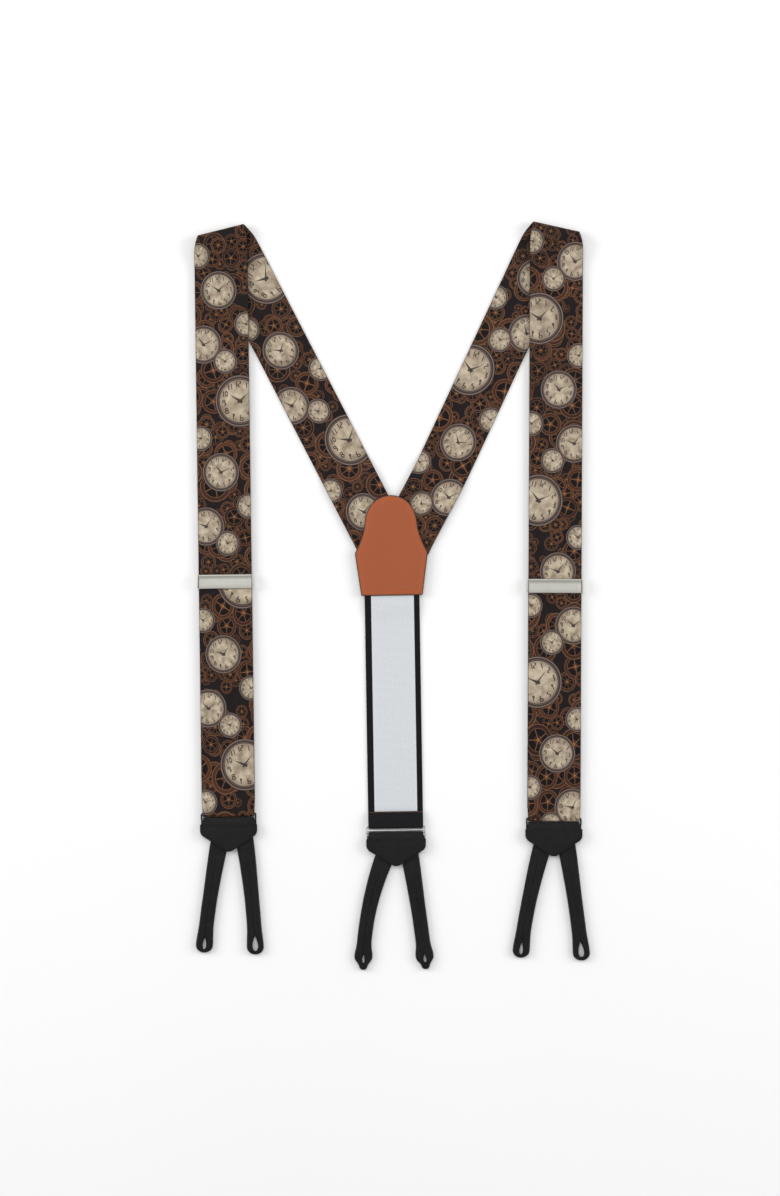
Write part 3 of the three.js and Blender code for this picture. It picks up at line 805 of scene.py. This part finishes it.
def back_strap_end(shoulder):
    """Where the back leg is cut off, at x across: at the patch's middle, or level with the elastic's top."""
    low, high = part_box(shoulder.side + "_back_strap")
    middle = (low.x if shoulder.side == "right" else high.x) / MM
    level = low.y / MM
    leg = shoulder.back

    def end(x):
        x += SWAY[shoulder.side]
        side_on = (middle - leg.origin.x - leg.across.x * x) / leg.up.x
        level_on = (level - leg.origin.y - leg.across.y * x) / leg.up.y
        return max(side_on, level_on) if abs(side_on) < 400 else level_on
    return end


BEND_REACH = 1.65                   # how far below the ring's bar the strap's middle goes


def bend_line(top, ring):
    """The side line of a ply from the front, round the ring's wire and out behind, as (y, z)."""
    rise = [(top + (ring + 2 - top) * k / 8, TOP_PLY + (BEND_HEIGHT + BEND_RADIUS - TOP_PLY) * smooth(k / 8))
            for k in range(9)]
    turn = [(ring - BEND_REACH * math.cos(a), BEND_HEIGHT + BEND_RADIUS * math.sin(a))
            for a in np.linspace(math.pi / 2, -math.pi / 2, 15)]
    out = [(y, BOTTOM_PLY) for y in np.linspace(ring, top, 6)[1:]]
    return np.array(rise + turn + out)


def ply_point(leg, line, s, x, lift, lengths):
    """The point s along a side line that starts towards -Y, x across, lift out from its middle."""
    y = np.interp(s, lengths, line[:, 0])
    z = np.interp(s, lengths, line[:, 1])
    ahead, behind = min(s + 0.3, lengths[-1]), max(s - 0.3, 0)
    dy = np.interp(ahead, lengths, line[:, 0]) - np.interp(behind, lengths, line[:, 0])
    dz = np.interp(ahead, lengths, line[:, 1]) - np.interp(behind, lengths, line[:, 1])
    size = math.hypot(dy, dz) or 1.0
    return leg.at(x, y + dz / size * lift, z - dy / size * lift)


# ---------------------------------------------------------------- closed pieces of leather, wire and sheet
def shell(name, over, under):
    """A closed piece between two grids of points, which meet along its rim."""
    vertices, index = [], {}

    def number(point):
        key = tuple(round(c, 8) for c in point)
        if key not in index:
            index[key] = len(vertices)
            vertices.append(point)
        return index[key]
    faces = []
    for grids, turn in ((over, 1), (under, -1)):
        for grid in grids:
            numbers = [[number(p) for p in row] for row in grid]
            for above, below in zip(numbers, numbers[1:]):
                for j in range(len(above) - 1):
                    ring = [above[j], below[j], below[j + 1], above[j + 1]][::turn]
                    unique = [c for n, c in enumerate(ring) if c not in ring[:n]]
                    if len(unique) > 2:
                        faces.append(unique)
    return object_from(name, vertices, faces), index


def curve(a, b, c, count=8):
    """Points along a quadratic curve from a to c, pulled towards b."""
    t = np.linspace(0, 1, count)[:, None]
    a, b, c = (np.array(p, float) for p in (a, b, c))
    return list((1 - t) ** 2 * a + 2 * t * (1 - t) * b + t * t * c)


def distances(points, outline):
    """How far each of the points is from a closed outline."""
    points, a = np.array(points)[:, None, :], np.array(outline)
    way = np.roll(a, -1, axis=0) - a
    share = ((points - a) * way).sum(-1) / np.maximum((way * way).sum(-1), 1e-12)
    nearest = a + way * np.clip(share, 0, 1)[..., None]
    return np.sqrt(((points - nearest) ** 2).sum(-1)).min(axis=1)


class Outline:
    """Half an outline that is the same left and right: (half width, y) points from the bottom to the top."""

    def __init__(self, points):
        self.points = np.array(points, float)
        self.low, self.high = self.points[0][1], self.points[-1][1]
        self.closed = np.concatenate([self.points, self.points[::-1] * (-1, 1)])

    def half(self, y):
        return float(np.interp(y, self.points[:, 1] + np.arange(len(self.points)) * 1e-7, self.points[:, 0]))

    def rows(self, pitch=1.6):
        middle = np.arange(self.low + 1.5, self.high - 1.4, pitch)
        ends = [self.low + e for e in EDGE_STEPS] + [self.high - e for e in EDGE_STEPS]
        return sorted({round(float(y), 5) for y in [*middle, *ends]})


def leaf(name, outline, place, thick, rounding=0.5, inner=16, relief=None):
    """A cut piece of leather. place(x, y, lift) gives a point; relief(x, y, d) is added to the upper side."""
    rows = outline.rows()
    grid = [[(x, y) for x in columns_of(max(outline.half(y), 0.02), inner)] for y in rows]
    depth = distances([p for row in grid for p in row], outline.closed).reshape(len(rows), -1)
    depth[depth < 1e-4] = 0
    depth[:, 0] = depth[:, -1] = depth[0] = depth[-1] = 0
    lifts = thick / 2 * np.sqrt(1 - (1 - np.minimum(depth / rounding, 1)) ** 2)
    over, under = [], []
    for row, ds, hs in zip(grid, depth, lifts):
        over.append([place(x, y, h + (relief(x, y, d) if relief and d > 0 else 0))
                     for (x, y), d, h in zip(row, ds, hs)])
        under.append([place(x, y, -h) for (x, y), h in zip(row, hs)])
    made, index = shell(name, [over[::-1]], [under[::-1]])
    rim = {}
    for points in (over, under):
        for row, ds in zip(points, depth):
            for point, d in zip(row, ds):
                rim[index[tuple(round(c, 8) for c in point)]] = d
    attribute(made, "rim", [(rim[i], 0, 0) for i in range(len(made.data.vertices))])
    return made


def tab_outline(half, bar, top):
    side, tip, turn = bar - 9.8, bar - 22.4, 2.6
    point = [p for p in curve((-2.4, tip + 1.1), (0, tip), (2.4, tip + 1.1), 13) if p[0] >= -1e-9]
    corner = curve((half - turn, side - turn * 0.62), (half, side), (half, side + turn))
    return Outline([*point, *corner, (half, top)])


ROLL_REACH = 2.0                    # how far above the bar the leather's middle goes


def roll_line(bar, flat_z, start):
    """The side line of a tab's front leaf: flat, pressed in by its seam, then over the ring's bar and
    under."""
    seam = bar - 4.7
    top = BEND_HEIGHT + BEND_RADIUS
    line = [(start, flat_z), (seam - 1.3, flat_z), (seam - 0.6, flat_z - 0.12), (seam, flat_z - 0.42),
            (seam + 0.6, flat_z - 0.16), (seam + 1.3, flat_z + 0.02), (seam + 2.4, flat_z + 0.06),
            (bar - 1.2, (flat_z + top) / 2 + 0.1)]
    line += [(bar + ROLL_REACH * math.sin(a), BEND_HEIGHT + BEND_RADIUS * math.cos(a))
             for a in np.linspace(0.08, math.pi, 15)]
    return np.array(line)


def tab_cover(name, leg, half, bar, ring_inside):
    flat_z = 3.5 + LEAF_THICK / 2
    outline = tab_outline(half, bar, bar)
    line = roll_line(bar, flat_z, bar - 24.0)
    lengths = run_along(line)
    start, end = line[0][0], lengths[-1]
    side = [p for p in outline.points if p[1] < bar - 2.0]
    unrolled = Outline([*side, (half, bar - 2.0), (half - 0.5, bar - 1.5), (ring_inside, bar - 1.25),
                        (ring_inside, start + end)])

    def place(x, v, lift):
        return ply_point(leg, line, v - start, x, -lift, lengths)

    def relief(x, y, d):
        ridge = 0.05 * math.sin(x * 1.9 + 0.6 * math.sin(y * 0.7)) if y > bar - 4.4 else 0.0
        crown = 0.16 * smooth((d - 0.3) / 2.2)
        return (crown + ridge) * smooth(d / 0.8)
    return leaf(name, unrolled, place, LEAF_THICK, relief=relief, inner=26)


def stitches(name, places, thick=0.42, length=1.35):
    """Short raised threads: places is a list of (centre, direction) in metres."""
    rings = [(-0.5, 0.25), (-0.36, 0.8), (0.0, 1.0), (0.36, 0.8), (0.5, 0.25)]
    vertices, faces = [], []
    for centre, way in places:
        way = way.normalized()
        side = way.cross(Vector((0, 0, 1))).normalized()
        base = len(vertices)
        for share, fat in rings:
            for k in range(6):
                angle = math.pi / 3 * k
                out = side * math.cos(angle) + Vector((0, 0, 1)) * math.sin(angle)
                vertices.append(centre + way * (length * share * MM) + out * (thick / 2 * fat * MM))
        for r in range(len(rings) - 1):
            for k in range(6):
                a, b = base + r * 6 + k, base + r * 6 + (k + 1) % 6
                faces.append([a, b, b + 6, a + 6])
        faces.append([base + k for k in range(5, -1, -1)])
        faces.append([base + (len(rings) - 1) * 6 + k for k in range(6)])
    return object_from(name, vertices, faces)


# Each loop: how far from the tab's middle it leaves and ends, its length, how soon it straightens, its eye's
# width, length and height above the end, and whether its end is drawn out to a nub
LOOPS = {
    "left": [("loop_outer", -5.4, -18.6, 83.9, 1.3, (2.4, 8.6, 2.4), False),
             ("loop_inner", 10.5, 17.7, 85.7, 1.6, (3.8, 11.0, 2.4), False)],
    "right": [("loop_inner", -6.5, -22.9, 84.5, 1.4, (2.4, 8.6, 2.4), False),
              ("loop_outer", 8.2, 20.3, 86.3, 1.2, (3.8, 11.0, 2.4), False)],
    "back": [("loop_left", -5.4, -24.5, 85.8, 2.0, (1.8, 5.8, 5.0), True),
             ("loop_right", 8.8, 19.6, 86.0, 1.2, (1.8, 5.8, 5.0), True)],
}


def button_loop(name, leg, bar, start, to, length, bow, eye, nub):
    """A leather leg, folded double along its edges and seamed down the middle, with a drop-shaped eye."""
    eye_width, eye_length, eye_above = eye
    root = bar - 9

    def centre(v):
        return start + (to - start) * (1 - (1 - min(v / length, 1)) ** bow)

    def slant(v):
        return (to - start) * bow * max(1 - v / length, 0) ** (bow - 1) / length

    def half(v):
        t = v / length
        wide = 6.2 - 1.1 * smooth(t / 0.6) + 0.9 * smooth((t - 0.75) / 0.2)
        left = length - v
        if nub:
            wide = wide + 0.6 * bell(left, 11, 4) - 3.1 * smooth((8.5 - left) / 6.5)
            return wide * math.sqrt(max(1 - max(1 - left / 2.7, 0) ** 2, 0))
        return wide * math.sqrt(max(1 - max(1 - left / 5.6, 0) ** 2.2, 0))

    def slit(v):
        share = (length - v - eye_above) / eye_length
        if share <= 0 or share >= 1:
            return 0.0
        return eye_width / 2 * math.sin(math.pi * share ** 0.63) ** 0.9

    vs = {round(float(v), 4) for v in np.linspace(0.0, length - 15, 44)}
    vs |= {round(float(v), 4) for v in np.linspace(length - 15, length - 1.1, 34)}
    vs |= {round(length - e, 4) for e in EDGE_STEPS} | {round(e, 4) for e in EDGE_STEPS}
    vs |= {round(length - eye_above, 4), round(length - eye_above - eye_length, 4)}
    vs = sorted(vs)
    outer = [(half(v), v) for v in vs]
    rim = np.array([*outer, *[(-h, v) for h, v in outer[::-1]]])
    hole_vs = [v for v in vs if length - eye_above - eye_length <= v <= length - eye_above]
    hole = np.array([*[(slit(v), v) for v in hole_vs], *[(-slit(v), v) for v in hole_vs[::-1]]])
    shares = (0, 0.04, 0.1, 0.18, 0.3, 0.44, 0.58, 0.7, 0.8, 0.88, 0.94, 0.975, 1.0)
    over, under = [], []
    for side in (1, -1):
        tops, lows = [], []
        for v in vs:
            inner, edge = slit(v), max(half(v), slit(v) + 0.01)
            xs = [side * (inner + (edge - inner) * k) for k in shares]
            points = [(x, v) for x in xs]
            d = distances(points, rim)
            in_eye = distances(points, hole)
            if hole_vs[0] <= v <= hole_vs[-1]:
                in_eye[0] = 0
            d[-1] = 0
            if v in (vs[0], vs[-1]):
                d[:] = 0
            d_all = np.minimum(d, in_eye)
            d_all[d_all < 1e-4] = 0
            out = smooth((v - 14.0) / 6)
            low, high = 1.4 * (1 - out), 3.2 + (LOOP_THICK - 3.2) * out
            top_row, low_row = [], []
            for x, depth, deep_eye in zip(xs, d_all, in_eye):
                u = abs(x) / max(edge, 0.5)
                share = rounded(depth / 1.5)
                ridge = (-0.26 * bell(abs(x), 0, 0.42)
                         - 0.13 * bell(abs(x), 2.6, 0.3)
                         + 0.10 * bell(abs(x), 1.5, 0.7)) * smooth(depth / 1.2) * out
                crease = -0.35 * bell(deep_eye, 1.9, 0.35) * smooth(depth / 1.0)
                middle = (low + high) / 2 - 0.15 * u ** 3
                reach = (high - low) / 2 * share
                y = root - v + x * slant(v)
                inside = depth > 0
                top_row.append(leg.at(centre(v) + x, y, middle + reach + (ridge + crease if inside else 0)))
                low_row.append(leg.at(centre(v) + x, y, middle - reach if inside else middle + reach))
            tops.append(top_row)
            lows.append(low_row)
        if side < 0:
            tops, lows = [row[::-1] for row in tops], [row[::-1] for row in lows]
        over.append(tops)
        under.append(lows)
    made, _ = shell(name, over, under)
    attribute(made, "rim", [(2.0, 0, 0)] * len(made.data.vertices))
    return made


def tab(prefix, leg, bar, width, ring_inside):
    """A leather tab on the ring's lower bar, with its two button loops."""
    body = prefix + "_tab"
    cover = tab_cover(prefix + "_tab_leather", leg, width / 2, bar, ring_inside)
    finish_piece(cover, "black_leather", body, [prefix + "_tab_cover"], sharp=50)
    back = leaf(prefix + "_tab_back", tab_outline(width / 2 - 0.6, bar, bar - 0.3),
                lambda x, y, lift: leg.at(x, y, LEAF_THICK / 2 + lift), LEAF_THICK)
    finish_piece(back, "black_leather", body, [prefix + "_tab_lining"], sharp=50)
    seam = bar - 4.7
    count = int((width - 5) / STITCH)
    row = [(leg.at((k - (count - 1) / 2) * STITCH, seam, 3.5 + LEAF_THICK - 0.40), Vector((*leg.across, 0)))
           for k in range(count)]
    sewn = stitches(prefix + "_tab_stitches", row)
    sewn.data.materials.append(BLACK_THREAD)
    finish_piece(sewn, "black_leather", body)
    for name, start, to, length, bow, eye, nub in LOOPS[prefix]:
        loop = button_loop(prefix + "_" + name + "_leather", leg, bar, start, to, length, bow, eye, nub)
        finish_piece(loop, "black_leather", body, [prefix + "_" + name], sharp=60)


def wire_ring(name, leg, width, y, pitch, middle_bar):
    """A rectangular ring of round wire, with a bar across its middle if it has one."""
    wire, corner = RING_WIRE / 2, 0.8
    half = width / 2 - wire
    path = []
    centres = ((half - corner, y - corner), (corner - half, y - corner),
               (corner - half, y - pitch + corner), (half - corner, y - pitch + corner))
    for quarter, (cx, cy) in enumerate(centres):
        for k in range(7):
            angle = (quarter + k / 6) * math.pi / 2
            path.append((cx + corner * math.cos(angle), cy + corner * math.sin(angle)))
    vertices, faces, sides = [], [], 14

    def tube(points, radius, closed):
        base, count = len(vertices), len(points)
        for i, (x, y_here) in enumerate(points):
            before = points[i - 1] if closed or i else points[0]
            after = points[(i + 1) % count] if closed or i < count - 1 else points[-1]
            way = Vector((after[0] - before[0], after[1] - before[1])).normalized()
            for k in range(sides):
                angle = 2 * math.pi * k / sides
                out = radius * math.cos(angle)
                z = BEND_HEIGHT + radius * math.sin(angle)
                vertices.append(leg.at(x + way.y * out, y_here - way.x * out, z))
        for i in range(count if closed else count - 1):
            for k in range(sides):
                a, b = base + i * sides + k, base + i * sides + (k + 1) % sides
                c, d = base + (i + 1) % count * sides + k, base + (i + 1) % count * sides + (k + 1) % sides
                faces.append([a, c, d, b])
        if not closed:
            faces.append([base + k for k in range(sides)])
            faces.append([base + (count - 1) * sides + k for k in range(sides - 1, -1, -1)])
    tube(path, wire, True)
    if middle_bar:
        reach = width / 2 - RING_WIRE * 0.7
        tube([(x, y - pitch / 2) for x in np.linspace(-reach, reach, 5)], 0.5, False)
    return object_from(name, vertices, faces)


SHEET_ROUNDING, SHEET_EDGE = 0.15, 0.12     # how far in a sheet's ends and its sides are rounded


def bent_sheet(name, leg, line, half, thick):
    """Sheet metal bent to a side line, with its ends stepped in by a shallow groove."""
    lengths = run_along(line)
    xs = sorted({-half, -half + 0.12, half - 0.12, half, *np.linspace(-half + 3, half - 3, 7),
                 *(side * (half - d) for side in (-1, 1) for d in (1.7, 1.85, 2.0, 2.15))})
    over, under = [], []
    for s in lengths:
        rounding = rounded(min(s, lengths[-1] - s) / SHEET_ROUNDING)
        tops, lows = [], []
        for x in xs:
            edge = rounded((half - abs(x)) / SHEET_EDGE)
            reach = thick / 2 * edge * rounding
            dent = 0.07 if 1.8 < half - abs(x) < 2.05 else 0.0
            tops.append(ply_point(leg, line, s, x, -(reach - dent * edge * rounding), lengths))
            lows.append(ply_point(leg, line, s, x, reach, lengths))
        over.append(tops)
        under.append(lows)
    made, _ = shell(name, [over[::-1]], [under[::-1]])
    return made


def bars(name, leg, boxes, bevel=0.12):
    """Bevelled flat bars: each is a pair of corners in the leg's frame."""
    work = bmesh.new()
    for low, high in boxes:
        made = bmesh.ops.create_cube(work, size=1.0)["verts"]
        for v in made:
            v.co = Vector([(a + b) / 2 + c * (b - a) for a, b, c in zip(low, high, v.co)])
    bmesh.ops.bevel(work, geom=work.edges[:], offset=bevel, segments=2, affect="EDGES", profile=0.6)
    for v in work.verts:
        v.co = leg.at(*v.co)
    mesh = bpy.data.meshes.new(name)
    work.to_mesh(mesh)
    work.free()
    return linked(name, mesh)


PIN_Z = 4.8


def adjuster(side, shoulder):
    """The metal adjuster: a frame behind both plies, a plate curled round its pin, and teeth under it."""
    leg, pin = shoulder.front, shoulder.pin
    base = pin - PLATE_BELOW_PIN
    frame_piece = bars(side + "_adjuster_base", leg, [
        ((-19.5, base - 4.5, 1.5), (19.5, base + 4.5, 2.1)),
        ((-19.55, base - 4.5, 1.5), (-18.95, base + 5.4, 5.7)),
        ((18.95, base - 4.5, 1.5), (19.55, base + 5.4, 5.7))])
    finish_piece(frame_piece, "satin_steel", side + "_adjuster", [side + "_adjuster_frame"])
    curl = [(pin + 0.68 * math.sin(a), PIN_Z + 0.68 * math.cos(a)) for a in np.linspace(-0.35, 3.5, 13)]
    face = np.array([(base - 3.5, 4.12), (base - 4.25, 4.13), (base - 4.62, 4.27), (base - 4.74, 4.52),
                     (base - 4.55, 4.74), (base - 4.1, 4.80), (base - 1.5, 4.85), (base + 1.5, 4.85),
                     (base + 2.9, 4.90), (base + 3.5, 5.12), *curl])
    plate = bent_sheet(side + "_adjuster_face", leg, face, 18.6, 0.36)
    finish_piece(plate, "satin_steel", side + "_plate", [side + "_adjuster_plate"], sharp=35)
    row = [((x - 0.4, base - 3.9, 3.92), (x + 0.4, base - 2.9, 4.3)) for x in np.linspace(-16.6, 16.6, 16)]
    teeth = bars(side + "_adjuster_teeth", leg, row, 0.08)
    finish_piece(teeth, "satin_steel", side + "_plate")
    rod_vertices, rod_faces = [], []
    turned = ((-19.75, 0.3), (-19.6, 0.6), (-19.56, 0.42), (19.56, 0.42), (19.6, 0.6), (19.75, 0.3))
    for i, (x, radius) in enumerate(turned):
        for k in range(16):
            angle = math.pi / 8 * k
            rod_vertices.append(leg.at(x, pin + radius * math.cos(angle), PIN_Z + radius * math.sin(angle)))
        if i:
            for k in range(16):
                a, b = (i - 1) * 16 + k, (i - 1) * 16 + (k + 1) % 16
                rod_faces.append([a, b, b + 16, a + 16])
    rod_faces += [list(range(15, -1, -1)), [80 + k for k in range(16)]]
    rod = object_from(side + "_adjuster_rod", rod_vertices, rod_faces)
    finish_piece(rod, "satin_steel", side + "_adjuster", [side + "_adjuster_pin"])


def straight_ply(name, leg, line, width, slot, body, replaces, thick=CLOTH_THICK, inner=20):
    """A ply of elastic along a side line, with its place along and across in the attribute strap."""
    lengths = run_along(line)
    made, layout, _ = ribbon(name, [width / 2] * len(lengths),
                             lambda i, x, lift: ply_point(leg, line, lengths[i], x, lift, lengths),
                             thick, inner)
    attribute(made, "strap",
                    [(lengths[layout[i][0]], layout[i][1], 0) for i in range(len(made.data.vertices))])
    return finish_piece(made, slot, body, replaces), lengths[-1]


def resampled(line, pitch):
    """The same side line with points every pitch or so."""
    out = [line[0]]
    for a, b in zip(line, line[1:]):
        count = max(1, round(math.dist(a, b) / pitch))
        out += [(a[0] + (b[0] - a[0]) * k / count, a[1] + (b[1] - a[1]) * k / count)
                for k in range(1, count + 1)]
    return np.array(out)


PATCH_BOTTOM, PATCH_TOP = 0.3, 70.9
SEAM_LEVEL = 28.5


def patch_outline(inset):
    low = PATCH_BOTTOM + inset
    t = np.linspace(0, 1, 18)[:, None]
    top = PATCH_TOP - inset
    a, b, c, d = (np.array(p, float) for p in ((18.8, 48.5), (18.4, 61), (12.2, top), (0, top)))
    dome = list((1 - t) ** 3 * a + 3 * t * (1 - t) ** 2 * b + 3 * t * t * (1 - t) * c + t ** 3 * d)
    points = [(20.4, low), *curve((20.4, low), (21.7, low), (21.8, low + 1.3)),
              *curve((25.5, 29), (25.9, 30.6), (25, 31.6)),
              *curve((25, 31.6), (20.4, 40.5), (18.8, 48.5)), *dome]
    return Outline([(max(x - inset, 0), y) for x, y in points])


def back_assembly():
    """The leather patch, the elastic, its ring and the back tab."""
    hinge = JOINTS["back_ring_hinge"]
    across = -plan(hinge["axis"]).normalized()
    up = Vector((-across.y, across.x))
    tip = plan(hinge["pos_m"]) / MM
    leg = Leg(tip - up * ELASTIC_RING, up)
    ring = ELASTIC_RING

    def puff(x, y, d):
        return 0.22 * smooth(d / 3.0) + 0.10 * smooth(d / 9.0)
    front = leaf("patch_leather", patch_outline(0),
                 lambda x, y, lift: leg.at(x, y, PATCH_LOW + PATCH_THICK / 2 + lift),
                 PATCH_THICK, rounding=0.55, inner=22, relief=puff)
    finish_piece(front, "patch_leather", "back", ["patch_front"], sharp=50)
    lining = leaf("patch_back", patch_outline(0.4),
                  lambda x, y, lift: leg.at(x, y, PATCH_THICK / 2 + lift), PATCH_THICK)
    finish_piece(lining, "patch_lining", "back", ["patch_lining"], sharp=50)

    bend_top = ring + 3
    rise = [(-20 + 16 * k / 8, BOTTOM_PLY + (SEWN_PLY - BOTTOM_PLY) * smooth(k / 8)) for k in range(1, 9)]
    web = resampled([(bend_top, BOTTOM_PLY), (-20.0, BOTTOM_PLY), *rise,
                     (SEAM_LEVEL - 0.3, SEWN_PLY)], 3.0)[::-1]
    piece, run = straight_ply("elastic_cloth", leg, web, ELASTIC_WIDTH, "elastic_face", None, ["elastic_web"])
    leg.at(0, PATCH_BOTTOM, 1)
    leg.at(0, bend_top - 1, 1)
    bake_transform(piece)
    run * MM
    turn = [(ring + 10 - 7 * k / 8, SEWN_PLY + (BEND_HEIGHT + BEND_RADIUS - 0.3 - SEWN_PLY) * smooth(k / 8))
            for k in range(9)]
    turn += [(ring - BEND_RADIUS * math.cos(a), BEND_HEIGHT + BEND_RADIUS * math.sin(a))
             for a in np.linspace(math.pi / 2, -math.pi / 2, 15)]
    turn = np.array([*turn, (bend_top, BOTTOM_PLY)])
    piece, run = straight_ply("elastic_turn", leg, turn, ELASTIC_WIDTH, "elastic_reverse", "elastic_end",
                              ["elastic_bend", "elastic_flap"])
    run * MM
    count = int((ELASTIC_WIDTH - 1) / 1.5)
    seam = stitches("elastic_stitches", [(leg.at((k - (count - 1) / 2) * 1.5, ring + 9.5, SEWN_PLY + 0.55),
                                          Vector((*leg.across, 0))) for k in range(count)], 0.5, 1.3)
    seam.data.materials.append(TAN_THREAD)
    finish_piece(seam, "elastic_reverse", "elastic_end")

    bar = ring - BACK_RING_PITCH
    wire = wire_ring("back_wire", leg, ELASTIC_WIDTH + 3.4, ring, BACK_RING_PITCH, True)
    wire.data.materials.append(BRIGHT_WIRE)
    finish_piece(wire, "satin_steel", "back_ring", ["back_ring"])
    tab("back", leg, bar, BACK_TAB_WIDTH, ELASTIC_WIDTH / 2 + 0.1)


def front_hardware(side, shoulder):
    adjuster(side, shoulder)
    wire = wire_ring(side + "_wire", shoulder.front, RING_WIDTH, shoulder.ring, RING_PITCH, False)
    wire.data.materials.append(DARK_WIRE)
    finish_piece(wire, "dark_wire", side + "_ring", [side + "_ring"])
    tab(side, shoulder.front, shoulder.bar, TAB_WIDTH, RING_INSIDE)


# ---------------------------------------------------------------- the camera, the light and the table
VIEW_HEIGHT = 0.843                 # metres of table from the bottom of the picture to its top
CAMERA_LEFT, CAMERA_DOWN = 0.0013, 0.0018
WORLD_LIGHT = 0.5


def pale_floor(g):
    mottle = g.noise(g.local(), 3.0)
    return {"Base Color": g.mix(mottle, (0.93, 0.93, 0.93), (0.96, 0.96, 0.96)),
            "Roughness": 0.9, "Specular IOR Level": 0.1}


def studio():
    scene = bpy.context.scene
    scene.view_settings.view_transform = "Standard"
    low, high = (Vector(c) for c in CAD_BOX)
    middle = (low + high) / 2
    camera_data = bpy.data.cameras.new("camera")
    camera_data.lens = 85
    camera_data.sensor_width = 36
    camera_data.clip_end = 20
    camera = bpy.data.objects.new("camera", camera_data)
    distance = VIEW_HEIGHT / camera_data.sensor_width * camera_data.lens
    camera.location = (middle.x - CAMERA_LEFT, middle.y - CAMERA_DOWN, distance)
    scene.collection.objects.link(camera)
    scene.camera = camera

    def area_light(name, place, size, power, aim):
        data = bpy.data.lights.new(name, "AREA")
        data.size = size
        data.energy = power
        made = bpy.data.objects.new(name, data)
        made.location = place
        made.rotation_euler = (Vector(aim) - Vector(place)).to_track_quat("-Z", "Y").to_euler()
        scene.collection.objects.link(made)
    area_light("left", (-1.7, 0.5, 1.0), 1.0, 17, middle)
    area_light("right", (1.7, 0.3, 1.0), 1.0, 15, middle)
    area_light("top", (-0.2, 0.9, 2.2), 1.6, 15, middle)

    world = bpy.data.worlds.new("world")
    world.use_nodes = True
    world.node_tree.nodes["Background"].inputs[0].default_value = (1, 1, 1, 1)
    world.node_tree.nodes["Background"].inputs[1].default_value = WORLD_LIGHT
    scene.world = world

    size, drop = 3.0, 0.0002
    floor = object_from("floor", [(-size, -size, -drop), (size, -size, -drop), (size, size, -drop),
                                  (-size, size, -drop)], [(0, 1, 2, 3)])
    floor.data.materials.append(material("pale_floor", pale_floor))


studio()
for side in ("left", "right"):
    front_hardware(side, shoulder_strap(side))
back_assembly()
